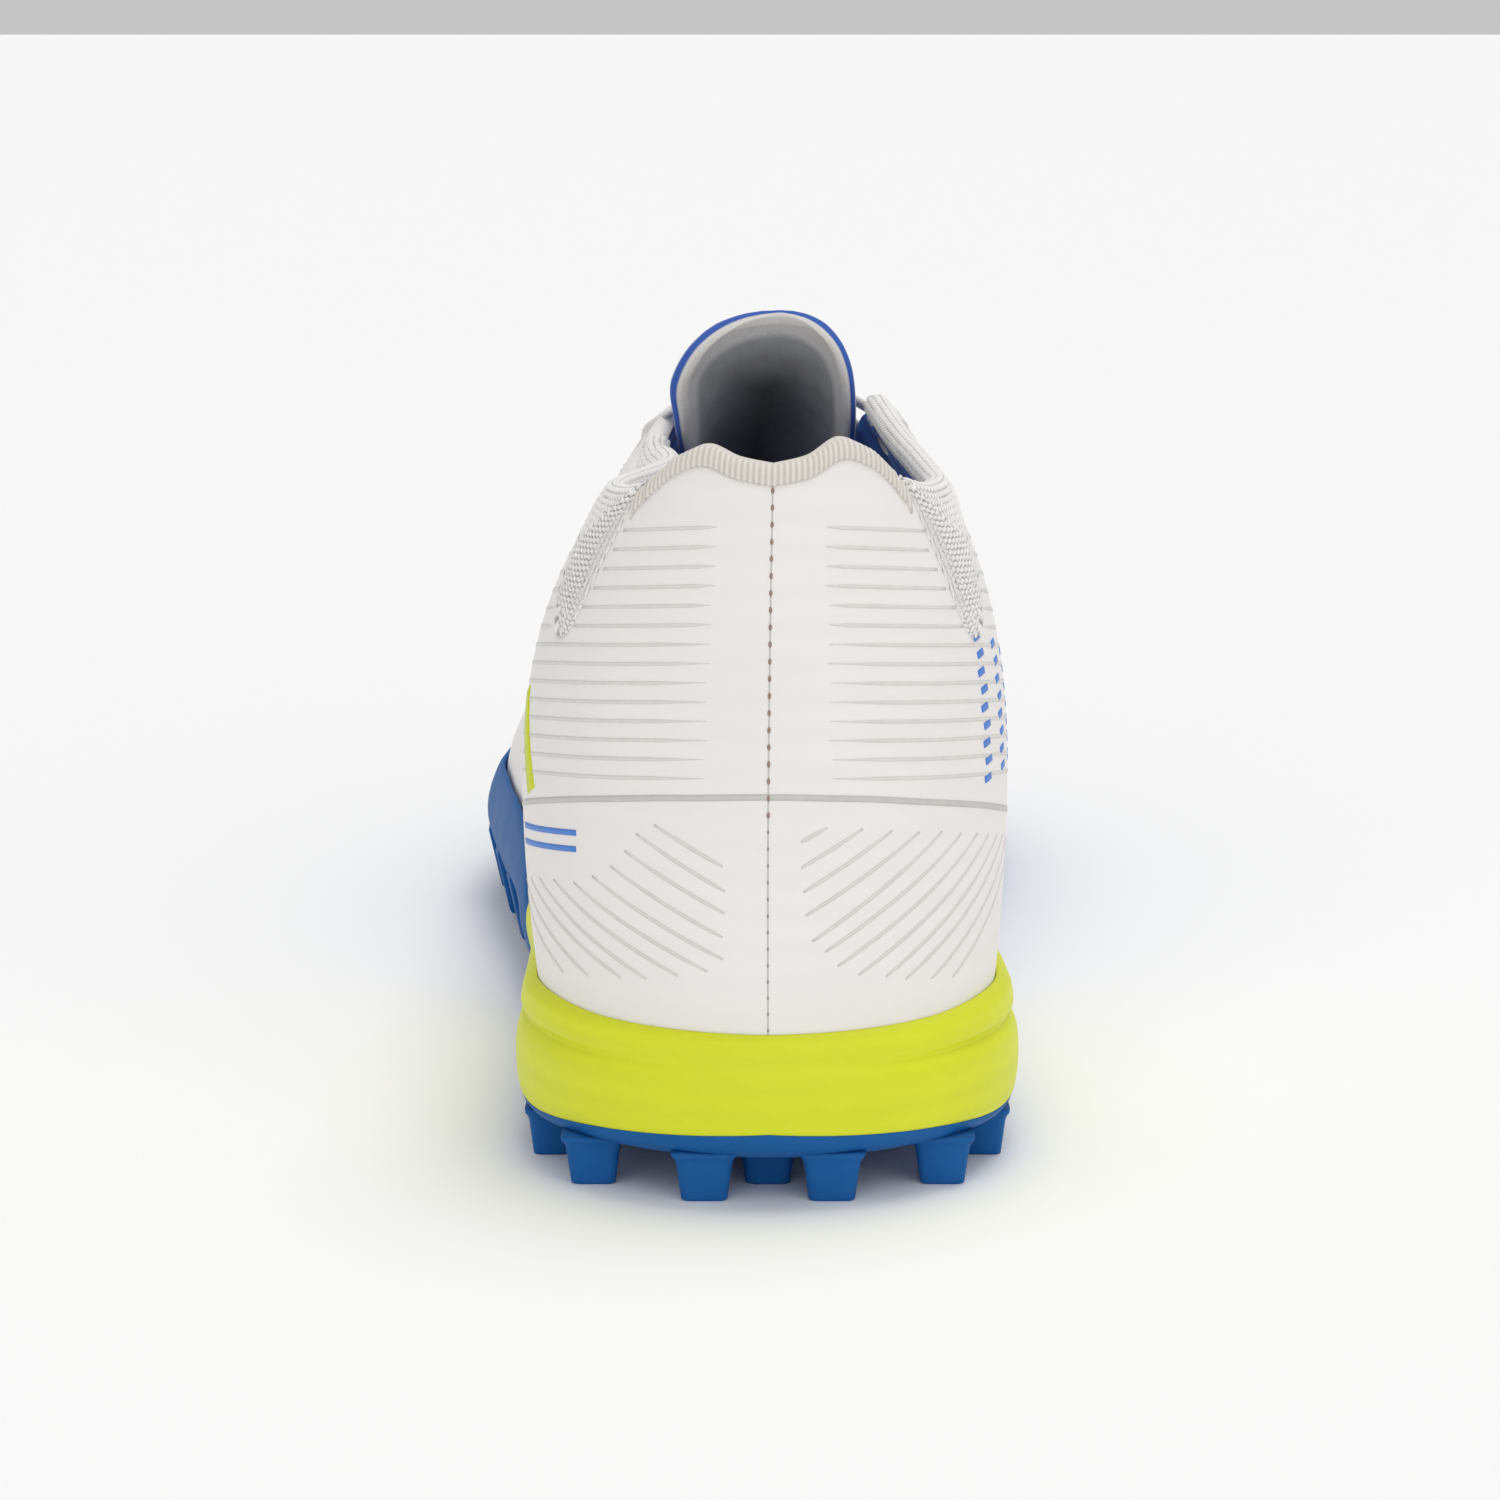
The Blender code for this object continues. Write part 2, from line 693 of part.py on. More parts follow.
def side_heights(s):
    """Tray floor, rubber edge, midsole rim and the lowest line of the midsole's open side."""
    y = edge_point(s)[1]
    floor = underside(y) + RUBBER_BASE
    edge = max(footbed(y) + sole_value("edge", s) * SOLE_HEIGHT, floor + 0.0005)
    rim = footbed(y) + sole_value("rim", s) * SOLE_HEIGHT
    start = min(edge + GAP, rim - FOAM_HIDDEN_HEIGHT)
    return floor, edge, rim, start


def edge_inset(s):
    """Inset of the rubber's top edge, which leans in to the upper where it rises past the midsole."""
    _, edge, rim, _ = side_heights(s)
    free = sole_value("edge_in", s) * BALL_WIDTH
    leaning = skin_inset(s, edge) - GAP - LIP_THICKNESS
    share = np.clip((edge - rim) / LIP_FADE, 0, 1)
    return float(free + (leaning - free) * share)


def rubber_outside(s):
    """Inset and height of the rubber's side, from its lower corner to its top edge."""
    _, edge, _, _ = side_heights(s)
    bottom = underside(edge_point(s)[1])
    base = sole_value("base", s) * BALL_WIDTH
    widest = edge - sole_value("widest", s) * SOLE_HEIGHT
    widest_in = sole_value("widest_in", s) * BALL_WIDTH
    return [
        (base, bottom + 0.0005),
        (widest_in + SIDE_HOLLOW * (base - widest_in), bottom + 0.5 * (widest - bottom)),
        (widest_in, widest),
        (edge_inset(s), edge),
    ]


def rubber_inside(s, height):
    """Inset of the rubber's inner face at a height."""
    _, _, rim, _ = side_heights(s)
    if height > rim + LEDGE_LIFT / 2:
        return skin_inset(s, height) - GAP
    insets, heights = zip(*rubber_outside(s))
    return max(sole_value("tray", s) * BALL_WIDTH, float(np.interp(height, heights, insets)) + RUBBER_EDGE)


def rubber_profile(s):
    floor, edge, rim, start = side_heights(s)
    outside = rubber_outside(s)
    shoulder = min(start, edge - 0.0003)
    middle = 0.5 * (floor + shoulder)
    ledge = min(rim + LEDGE_LIFT, edge - 0.0001)
    below_ledge = min(rim + LEDGE_LIFT / 2, edge - 0.0002)
    lip = 0.5 * (edge + ledge)
    rows = [inset_point(s, outside[0][0] + 0.0015, underside)]
    rows += [inset_point(s, inset, height) for inset, height in outside]
    levels = (edge, lip, ledge, below_ledge, shoulder, middle)
    rows += [inset_point(s, rubber_inside(s, z), z) for z in levels]
    rows.append(inset_point(s, rubber_inside(s, floor), lambda y: underside(y) + RUBBER_BASE))
    return rows


def foam_profile(s):
    floor, edge, rim, start = side_heights(s)
    shoulder = min(start, edge - 0.0003)
    middle = 0.5 * (floor + shoulder)
    tray = rubber_inside(s, shoulder) + GAP
    corner = rubber_inside(s, floor) + GAP
    shown = np.clip((rim - FOAM_HIDDEN_HEIGHT - FOAM_FADE_START - edge) / FOAM_FADE, 0, 1)
    shown = shown * shown * (3 - 2 * shown)
    groove = FOAM_SIDE_BACK_GROOVE + (1 - FOAM_SIDE_BACK_GROOVE) * min(1, (abs(s) / 0.10) ** 2)
    rows = [
        inset_point(s, corner + 0.0006, lambda y: underside(y) + RUBBER_BASE + GAP),
        inset_point(s, max(tray, rubber_inside(s, middle) + GAP), middle),
        inset_point(s, tray, start),
    ]
    for at, inset in FOAM_SIDE:
        share = groove if 0.5 < at < 0.6 else 1.0
        proud = 0.010 + (inset - 0.010) * share
        rows.append(inset_point(s, tray + (proud * BALL_WIDTH - tray) * shown, start + at * (rim - start)))
    inner = skin_inset(s, rim) - GAP
    rows += [
        inset_point(s, min(inner - RIM_THICKNESS * 0.6, tray + 0.0002), rim),
        inset_point(s, inner, rim),
        inset_point(s, FEATHER["inset"](abs(s)) * BALL_WIDTH - GAP, footbed),
    ]
    return rows


def insole_profile(s):
    inset = FEATHER["inset"](abs(s)) * BALL_WIDTH + UPPER_WALL + 2 * GAP
    edge = 0.0006
    rise = (
        (edge, GAP),
        (0.0, GAP + edge),
        (0.0, GAP + INSOLE_THICKNESS - edge),
        (edge, GAP + INSOLE_THICKNESS),
    )
    return [inset_point(s, inset + more, lambda y, z=z: footbed(y) + z) for more, z in rise]


def lugs(parent, rubber):
    made = []
    for at, span, count, size in LUG_ROWS:
        y = at * LENGTH
        middle = float(PLAN["centre"](at)) * BALL_WIDTH
        for k in range(count):
            x = middle + (2 * k / (count - 1) - 1) * span * BALL_WIDTH
            half = LUG_SIZE * size / 2
            tip = max(0.0, underside(y) - LUG_HEIGHT)
            corners = ((-1, -1), (1, -1), (1, 1), (-1, 1))
            base = [(x + i * half, y + j * half, underside(y + j * half) + LUG_SINK) for i, j in corners]
            foot = [(x + i * half * LUG_TAPER, y + j * half * LUG_TAPER, tip) for i, j in corners]
            made.append(frustum("lug", base, foot, rubber, parent))
    return made


def side_ribs(parent, rubber):
    made = []
    for side in (-1, 1):
        for u in np.linspace(SIDE_RIB_START, SIDE_RIB_END, SIDE_RIBS):
            s = side * float(u)
            point, out = outline(s)
            along = np.array([-out[1], out[0]])
            low = underside(point[1]) - LUG_HEIGHT
            low = max(low, 0.0) + SIDE_RIB_FOOT
            base = sole_value("base", s) * BALL_WIDTH
            foot_in, top_in = base - SIDE_RIB_PROUD, SIDE_RIB_TOP_INSET
            levels = (
                (low, foot_in, foot_in + SIDE_RIB_FOOT_DEPTH, 0.36),
                (low + SIDE_RIB_HEIGHT, top_in, top_in + SIDE_RIB_TOP_DEPTH, 0.50),
            )
            loops = []
            for z, near, far, half in levels:
                ends = [(near, -half), (near, half), (far, half), (far, -half)]
                loops.append([(*(point - out * i + along * j * SIDE_RIB_WIDTH), z) for i, j in ends])
            made.append(frustum("side_rib", loops[0], loops[1], rubber, parent))
    return made


# Upper

# The eyestay's stations: where its raised band begins past the throat's start, and how far it goes
# round the throat's end. Shares of the rib: its narrowest band, and the step at its edge
EYESTAY_BEGIN = 0.020
EYESTAY_NOSE = 0.035
EYESTAY_NARROW = 0.10
EYESTAY_EDGE = 0.012
# Station where the collar's padding has run out
PADDING_END = 0.30


def eyestay_share(s):
    """Share of the rib that the eyestay's band takes, and whether it is raised there."""
    u = abs(s)
    if THROAT_START + EYESTAY_BEGIN < u < THROAT_END + EYESTAY_NOSE:
        band = EYESTAY_WIDTH / rib(s).top
        if u > THROAT_END:
            band *= math.sqrt(1 - ((u - THROAT_END) / EYESTAY_NOSE) ** 2)
        return max(band, EYESTAY_NARROW), True
    return EYESTAY_NARROW, False


def upper_columns():
    outer, inner = [], []
    for s in ring(UPPER_STATIONS):
        top = upper_top(s)
        band, raised = eyestay_share(s)
        step = EYESTAY_STEP if raised else 0.0
        foot = 1 - band - EYESTAY_EDGE
        levels = [(w * foot, 0.0) for w in UPPER_ROWS]
        levels += [(foot, 0.0), (1 - band, step), (1.0, step)]
        padded = max(0, 1 - abs(s) / PADDING_END)
        outer.append([])
        inner.append([])
        for share, lift in levels:
            length = share * top
            thick = UPPER_WALL + (COLLAR_WALL - UPPER_WALL) * padded * share ** 3
            if abs(s) >= THROAT_END + EYESTAY_NOSE and share == 1.0:
                lift = 0.0
            outer[-1].append(wall(s, length, lift))
            inner[-1].append(wall(s, length, -thick))
    return outer, inner


def make_upper(fabric, parent):
    """One hollow wall. Past the throat the two sides meet along the vamp's ridge."""
    stations = ring(UPPER_STATIONS)
    outer, inner = upper_columns()
    rows = len(outer[0])
    half = len(stations) * rows
    points, faces = shell(outer, inner, True)
    closed_from = UPPER_STATIONS.index(THROAT_END)
    count = len(stations)
    index = {round(s, 6): i for i, s in enumerate(stations)}
    pairs = [(index[round(-u, 6)], index[round(u, 6)]) for u in UPPER_STATIONS[closed_from:-1]]
    for lateral, medial in pairs:
        for base in (0, half):
            a, b = base + lateral * rows + rows - 1, base + medial * rows + rows - 1
            shared = (np.array(points[a]) + np.array(points[b])) / 2
            points[a] = points[b] = shared
    ridge_columns = {i for pair in pairs for i in pair} | {0}
    kept = []
    for face in faces:
        edge = [i for i in face if i % rows == rows - 1]
        strip = len(edge) == 4 and all((i % half) // rows in ridge_columns for i in edge)
        if not strip:
            kept.append(face)
    made = add_object("upper", points, kept, fabric, parent)
    for side in (-1, 1):
        for u in eyelet_stations():
            punch(made, side * u)
    return made


def eyelet_stations():
    return np.linspace(THROAT_START + 0.066, THROAT_END - 0.040, EYELET_PAIRS)


def punch(target, s):
    """A round hole through the eyestay."""
    length = rib(s).top - EYELET_INSET
    axis = outward(s, length)
    across = np.cross(axis, (0, 1, 0))
    across /= np.linalg.norm(across)
    other = np.cross(axis, across)
    centre = skin(s, length)
    sides = 6
    turns = [2 * math.pi * k / sides for k in range(sides)]
    loop = [(across * math.cos(a) + other * math.sin(a)) * EYELET_RADIUS for a in turns]
    points = [centre + p + axis * reach for reach in (-EYELET_DEPTH, EYELET_DEPTH) for p in loop]
    faces = [tuple(range(sides)), tuple(range(sides, 2 * sides))]
    faces += [(k, (k + 1) % sides, (k + 1) % sides + sides, k + sides) for k in range(sides)]
    tool = add_object("hole", points, faces, target.data.materials[0], target.parent)
    apply_boolean(target, tool, "DIFFERENCE")


def make_binding(ribbed, parent):
    """The soft band over the heel's edge."""
    stations = [s for s in sorted(ring(UPPER_STATIONS)) if abs(s) <= BINDING_END + 1e-6]
    outer, inner = [], []
    for s in stations:
        top = seam_length(s)
        height = binding_height(s)
        levels = (
            (top - height, 0.0), (top - height * 0.75, BINDING_PROUD),
            (top - height * 0.25, BINDING_PROUD), (top, 0.0),
        )
        outer.append([wall(s, length, lift) for length, lift in levels])
        inner.append([wall(s, length, -COLLAR_WALL - lift) for length, lift in levels])
    points, faces = shell(outer, inner, False)
    return add_object("heel_binding", points, faces, ribbed, parent)


def make_knit(side, knit, parent):
    """The padded knit collar beside the ankle, with a finger reaching down beside the heel."""
    name = "knit_collar_lateral" if side < 0 else "knit_collar_medial"
    outer, inner = [], []
    for u in [u for u in UPPER_STATIONS if KNIT_START <= u <= KNIT_END]:
        s = side * u
        low = seam_length(s) + GAP
        top = rib(s).top
        outer.append([])
        inner.append([])
        for share in (0.0, 0.2, 0.8, 1.0):
            length = low + share * (top - low)
            round_off = 4 * share * (1 - share)
            outer[-1].append(wall(s, length, 0.0006 * round_off))
            inner[-1].append(wall(s, length, -KNIT_WALL * (0.82 + 0.18 * round_off)))
    points, faces = shell(outer, inner, False)
    return add_object(name, points, faces, knit, parent)


# Tongue and laces

def tongue_frame(share):
    """Middle line point, its direction towards the toe end, and the outer normal there."""
    line = np.array([(x * BALL_WIDTH, y * LENGTH, z) for y, z, x in TONGUE_LINE])
    run = np.r_[0, np.cumsum(np.linalg.norm(np.diff(line, axis=0), axis=1))]
    curves = [smooth(run / run[-1], line[:, k]) for k in range(3)]
    here = np.array([float(curve(share)) for curve in curves])
    after = np.array([float(curve(min(share + 0.01, 1))) for curve in curves])
    before = np.array([float(curve(max(share - 0.01, 0))) for curve in curves])
    along = (after - before) / np.linalg.norm(after - before)
    normal = np.cross(along, (-1, 0, 0))
    return here, along, normal / np.linalg.norm(normal)


def tongue_point(share, across, lift):
    """across runs from -1 to 1 over the curl."""
    middle, _, normal = tongue_frame(share)
    radius = float(TONGUE_CURL["radius"](share)) * BALL_WIDTH
    angle = math.radians(float(TONGUE_CURL["half_angle"](share))) * across
    aside = math.sin(angle) * (float(TONGUE_CURL["skew"](share)) if across < 0 else 1)
    rise = math.cos(angle) * (radius + lift) - radius
    return middle + np.array([aside * (radius + lift), 0, 0]) + normal * rise


def make_tongue(cloth, parent):
    across = np.linspace(-1, 1, TONGUE_COLUMNS)
    half = TONGUE_WALL / 2
    outer = [[tongue_point(share, c, half) for c in across] for share in TONGUE_ROWS]
    inner = [[tongue_point(share, c, -half) for c in across] for share in TONGUE_ROWS]
    points, faces = shell(outer, inner, False)
    return add_object("tongue", points, faces, cloth, parent)


def instep(start, end, across):
    """A place over the instep. across runs from -1 at the lateral eyelet to 1 at the medial one."""
    u = float(start + (end - start) * (across + 1) / 2)
    s = u if across > 0 else -u
    here = rib(s)
    to_eyelet = here.full - here.top + EYELET_INSET
    return s, here.full - abs(across) * to_eyelet


def lace_strap(start, end, rise, past, cord, parent):
    """A flat strap from an eyelet of one side to an eyelet of the other, over the instep."""
    steps = 5
    loops = []
    for across in np.linspace(-past, past, steps):
        s, length = instep(start, end, across)
        centre = skin(s, length)
        normal = outward(s, length)
        run = skin(*instep(start, end, across + 0.02)) - skin(*instep(start, end, across - 0.02))
        side = np.cross(normal, run)
        side /= np.linalg.norm(side)
        low = EYESTAY_STEP + GAP + LACE_LIFT + rise
        loops.append([
            centre + side * (LACE_WIDTH / 2 * i) + normal * (low + LACE_THICKNESS * j)
            for i, j in ((-1, 0), (1, 0), (1, 1), (-1, 1))
        ])
    points = [p for loop in loops for p in loop]
    faces = [(0, 1, 2, 3), tuple(range(4 * steps - 4, 4 * steps))]
    for k in range(steps - 1):
        for i in range(4):
            a, b = 4 * k + i, 4 * k + (i + 1) % 4
            faces.append((a, b, b + 4, a + 4))
    return add_object("strap", points, faces, cord, parent)


# How far each kind of lace rises over the one below, share of LACE_THICKNESS, and where it ends, share
# of the way from the middle to the eyelet
BAR_RISE, BAR_END = 0.15, 1.01
UNDER_RISE, UNDER_END = 0.0, 1.03
OVER_RISE, OVER_END = 0.3, 1.05


def make_laces(cord, parent):
    """Crossings from the lowest pair of eyelets to the top pair, joined at the eyelets."""
    places = eyelet_stations()
    straps = [lace_strap(places[-1], places[-1], BAR_RISE * LACE_THICKNESS, BAR_END, cord, parent)]
    for upper_place, lower_place in zip(places[:-1], places[1:]):
        straps.append(lace_strap(
            upper_place, lower_place, UNDER_RISE * LACE_THICKNESS, UNDER_END, cord, parent))
        straps.append(lace_strap(
            lower_place, upper_place, OVER_RISE * LACE_THICKNESS, OVER_END, cord, parent))
    laces = straps[0]
    laces.name = "laces"
    laces.data.name = "laces"
    join_by_union(laces, straps[1:])
    return laces


def main():
    for thing in list(bpy.data.objects):
        bpy.data.objects.remove(thing)
    left = side_line(-1)[0][:, 0].min()
    right = side_line(1)[0][:, 0].max()
    shoe = bpy.data.objects.new("shoe", None)
    shoe.location = (-(left + right) / 2, -LENGTH / 2, 0)
    bpy.context.collection.objects.link(shoe)

    rubber = material("blue_rubber", (0.025, 0.150, 0.460), 0.50)
    foam = material("lime_foam", (0.620, 0.740, 0.020), 0.60)
    fabric = material("white_textile", (0.800, 0.790, 0.775), 0.65)
    knit = material("grey_knit", (0.620, 0.615, 0.610), 0.90)
    ribbed = material("beige_binding", (0.620, 0.560, 0.480), 0.85)
    cloth = material("tongue_cloth", (0.580, 0.580, 0.590), 0.85)
    board = material("insole_foam", (0.030, 0.080, 0.260), 0.90)
    cord = material("white_lace", (0.800, 0.795, 0.780), 0.80)

    outsole = loft("outsole", rubber_profile, SOLE_STATIONS, rubber, shoe)
    join_by_union(outsole, lugs(shoe, rubber) + side_ribs(shoe, rubber))
    loft("midsole", foam_profile, SOLE_STATIONS, foam, shoe)
    loft("insole", insole_profile, SOLE_STATIONS, board, shoe)
    make_upper(fabric, shoe)
    make_binding(ribbed, shoe)
    for side in (-1, 1):
        make_knit(side, knit, shoe)
    make_tongue(cloth, shoe)
    make_laces(cord, shoe)


main()
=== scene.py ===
"""Looks of the left football shoe for artificial turf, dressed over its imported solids."""
import math
from functools import lru_cache

import bmesh
import bpy
import numpy as np
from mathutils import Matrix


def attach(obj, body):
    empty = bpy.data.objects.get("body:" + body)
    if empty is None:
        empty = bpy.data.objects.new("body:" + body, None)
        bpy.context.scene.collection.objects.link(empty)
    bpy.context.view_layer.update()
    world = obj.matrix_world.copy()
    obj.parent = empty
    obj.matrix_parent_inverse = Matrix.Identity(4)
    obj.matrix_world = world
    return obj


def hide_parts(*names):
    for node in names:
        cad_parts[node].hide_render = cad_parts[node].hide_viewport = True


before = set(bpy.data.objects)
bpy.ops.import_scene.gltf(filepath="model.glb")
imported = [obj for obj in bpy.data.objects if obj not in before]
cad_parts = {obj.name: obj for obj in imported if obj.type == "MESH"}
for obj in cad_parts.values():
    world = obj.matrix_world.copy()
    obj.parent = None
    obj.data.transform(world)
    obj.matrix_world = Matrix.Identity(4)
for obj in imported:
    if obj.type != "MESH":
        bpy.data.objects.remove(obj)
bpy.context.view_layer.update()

# Driving sizes of the whole shoe
LENGTH = 0.287
BALL_WIDTH = 0.100
SOLE_HEIGHT = 0.0200
INSTEP_HEIGHT = 0.1200
COLLAR_HEIGHT = 0.1055
TONGUE_HEIGHT = 0.1212

# Walls and thicknesses
UPPER_WALL = 0.0020
COLLAR_WALL = 0.0034
TONGUE_WALL = 0.0024
INSOLE_THICKNESS = 0.0034
RUBBER_BASE = 0.0014
RUBBER_EDGE = 0.0010
LUG_HEIGHT = 0.0066

# Trim
BINDING_WIDTH = 0.0022
BINDING_PROUD = 0.0005
EYESTAY_WIDTH = 0.0140
EYESTAY_STEP = 0.0008
EYELET_RADIUS = 0.0018
EYELET_INSET = 0.0062
EYELET_PAIRS = 6
LACE_WIDTH = 0.0050
LACE_THICKNESS = 0.0012
LACE_LIFT = 0.0004

# Meeting pieces keep this apart
GAP = 0.0003


def smooth(at, values):
    """A monotone cubic curve through the given points."""
    at = np.asarray(at, float)
    values = np.asarray(values, float)
    step = np.diff(at)
    rise = np.diff(values) / step
    slope = np.zeros_like(values)
    slope[0] = rise[0]
    slope[-1] = rise[-1]
    for i in range(1, len(at) - 1):
        if rise[i - 1] * rise[i] > 0:
            before = 2 * step[i] + step[i - 1]
            after = step[i] + 2 * step[i - 1]
            slope[i] = (before + after) / (before / rise[i - 1] + after / rise[i])

    def curve(x):
        x = np.clip(x, at[0], at[-1])
        i = np.clip(np.searchsorted(at, x) - 1, 0, len(at) - 2)
        t = (x - at[i]) / step[i]
        start = values[i] * (1 + 2 * t) * (1 - t) ** 2 + step[i] * slope[i] * t * (1 - t) ** 2
        end = values[i + 1] * t * t * (3 - 2 * t) + step[i] * slope[i + 1] * t * t * (t - 1)
        return start + end

    return curve


def table(names, *rows):
    """Named columns of numbers. Each column becomes a smooth function of the first one."""
    columns = np.array(rows, float).T
    return {name: smooth(columns[0], column) for name, column in zip(names.split(), columns)}


# Outline of the sole. at: share of LENGTH from the heel; the rest: shares of BALL_WIDTH
PLAN = table(
    "at centre half",
    (0.00, 0.000, 0.385),
    (0.13, 0.000, 0.380),
    (0.25, -0.010, 0.372),
    (0.35, -0.030, 0.362),
    (0.45, -0.060, 0.375),
    (0.55, -0.059, 0.416),
    (0.64, -0.046, 0.469),
    (0.72, -0.036, 0.502),
    (0.80, -0.012, 0.502),
    (0.90, 0.026, 0.474),
    (1.00, 0.055, 0.440),
)
HEEL_ROUND = 0.132
TOE_ROUND = 0.25
TOE_POWER = 2.5
TOE_BLUNT = 2.1

# Heights along the shoe. at: share of LENGTH; underside and footbed: shares of SOLE_HEIGHT;
# ridge: height of the last's middle line, behind the ankle above the collar
ALONG = table(
    "at underside footbed ridge",
    (0.00, 0.330, 1.000, 1.137 * COLLAR_HEIGHT),
    (0.15, 0.310, 1.000, 1.137 * COLLAR_HEIGHT),
    (0.28, 0.350, 0.975, 1.137 * COLLAR_HEIGHT),
    (0.35, 0.400, 0.950, 0.980 * INSTEP_HEIGHT),
    (0.42, 0.450, 0.900, 0.883 * INSTEP_HEIGHT),
    (0.50, 0.400, 0.825, 0.750 * INSTEP_HEIGHT),
    (0.56, 0.330, 0.760, 0.662 * INSTEP_HEIGHT),
    (0.64, 0.300, 0.725, 0.567 * INSTEP_HEIGHT),
    (0.72, 0.300, 0.725, 0.496 * INSTEP_HEIGHT),
    (0.80, 0.360, 0.790, 0.446 * INSTEP_HEIGHT),
    (0.88, 0.575, 0.975, 0.404 * INSTEP_HEIGHT),
    (0.92, 0.725, 1.100, 0.375 * INSTEP_HEIGHT),
    (1.00, 1.000, 1.350, 0.317 * INSTEP_HEIGHT),
)

# Where the upper meets the sole. at: share of the way round one side from heel to toe;
# inset: from the sole's outline, share of BALL_WIDTH
FEATHER = table(
    "at inset",
    (0.00, 0.030),
    (0.07, 0.034),
    (0.16, 0.042),
    (0.27, 0.038),
    (0.36, 0.034),
    (0.40, 0.035),
    (0.55, 0.043),
    (0.70, 0.046),
    (1.00, 0.060),
)

# Ribs of the upper, one curve each with four control points. at: share round the side;
# bulge: outward, share of BALL_WIDTH; up: share of the rib's height; reach: how far in it ends, share
# of the way to the ridge; top: share of the ridge's height; lean: how far in the third point is, share of
# the way to the ridge; drop: that point below the top, share of INSTEP_HEIGHT
RIB_COLUMNS = "at bulge up reach top lean drop"
RIBS = {
    -1: table(
        RIB_COLUMNS,
        (0.00, 0.035, 0.42, 0.27, 0.935, 0.07, 0.217),
        (0.05, 0.033, 0.42, 0.28, 0.935, 0.06, 0.217),
        (0.10, 0.041, 0.47, 0.37, 0.925, 0.00, 0.200),
        (0.17, 0.067, 0.56, 0.53, 0.910, -0.04, 0.175),
        (0.24, 0.060, 0.60, 0.76, 0.905, 0.07, 0.150),
        (0.30, 0.048, 0.61, 0.98, 0.940, 0.23, 0.108),
        (0.36, 0.034, 0.60, 1.00, 0.990, 0.44, 0.067),
        (0.45, 0.028, 0.60, 1.00, 1.000, 0.45, 0.017),
        (0.55, 0.035, 0.62, 1.00, 1.000, 0.48, 0.008),
        (0.70, 0.050, 0.58, 1.00, 1.000, 0.48, 0.008),
        (0.85, 0.034, 0.60, 1.00, 1.000, 0.45, 0.017),
        (1.00, 0.030, 0.70, 1.00, 1.000, 0.50, 0.025),
    ),
    1: table(
        RIB_COLUMNS,
        (0.00, 0.035, 0.42, 0.27, 0.935, 0.07, 0.217),
        (0.05, 0.033, 0.42, 0.28, 0.935, 0.06, 0.217),
        (0.10, 0.036, 0.48, 0.34, 0.925, 0.01, 0.200),
        (0.17, 0.046, 0.55, 0.42, 0.910, -0.05, 0.183),
        (0.24, 0.051, 0.58, 0.55, 0.925, -0.03, 0.167),
        (0.30, 0.054, 0.57, 0.79, 0.970, 0.01, 0.125),
        (0.36, 0.047, 0.56, 0.98, 1.000, 0.14, 0.083),
        (0.45, 0.041, 0.50, 1.00, 1.000, 0.30, 0.025),
        (0.55, 0.030, 0.50, 1.00, 1.000, 0.38, 0.008),
        (0.70, 0.025, 0.54, 1.00, 1.000, 0.42, 0.008),
        (0.85, 0.030, 0.60, 1.00, 1.000, 0.42, 0.017),
        (1.00, 0.030, 0.70, 1.00, 1.000, 0.50, 0.025),
    ),
}
# The ribs fan out around the heel and the toe
HEEL_FAN = 0.139
HEEL_FAN_END = 0.216
TOE_FAN_START = 0.749
TOE_FAN = 0.36
RIDGE_SWAY = 0.6
RIDGE_OFFSET = 0.030

# Height of the collar's edge. at: share round the side; height: share of COLLAR_HEIGHT
TOPLINE = {
    -1: table(
        "at height",
        (0.000, 1.000),
        (0.020, 1.008),
        (0.042, 1.024),
        (0.060, 1.010),
        (0.080, 0.976),
        (0.110, 0.961),
        (0.160, 0.957),
        (0.230, 0.957),
        (0.280, 0.957),
        (0.320, 0.958),
        (0.360, 0.980),
        (0.400, 1.070),
    ),
    1: table(
        "at height",
        (0.000, 1.000),
        (0.020, 1.009),
        (0.044, 1.033),
        (0.062, 1.020),
        (0.085, 0.981),
        (0.120, 0.963),
        (0.170, 0.963),
        (0.230, 0.985),
        (0.280, 1.022),
        (0.320, 1.052),
        (0.360, 1.090),
        (0.400, 1.194),
    ),
}

# Half of the throat's breadth. at: share round the side; half: share of BALL_WIDTH
THROAT = table(
    "at half",
    (0.300, 0.175),
    (0.360, 0.165),
    (0.450, 0.145),
    (0.520, 0.135),
    (0.575, 0.130),
)
THROAT_START = 0.300
THROAT_END = 0.575
THROAT_ROUND = 0.050
COLLAR_END = 0.42
THROAT_BLEND = 0.006

# The knit collar's lower seam. at: share round the side; drop: below the collar's edge, measured
# down the wall, share of COLLAR_HEIGHT
SEAM = table(
    "at drop",
    (0.080, 0.004),
    (0.088, 0.012),
    (0.096, 0.060),
    (0.105, 0.120),
    (0.112, 0.172),
    (0.118, 0.206),
    (0.123, 0.220),
    (0.129, 0.225),
    (0.135, 0.221),
    (0.139, 0.204),
    (0.142, 0.172),
    (0.145, 0.130),
    (0.148, 0.098),
    (0.152, 0.070),
    (0.170, 0.050),
    (0.200, 0.045),
    (0.330, 0.045),
)
KNIT_START = 0.088
KNIT_END = 0.338
BINDING_END = 0.088

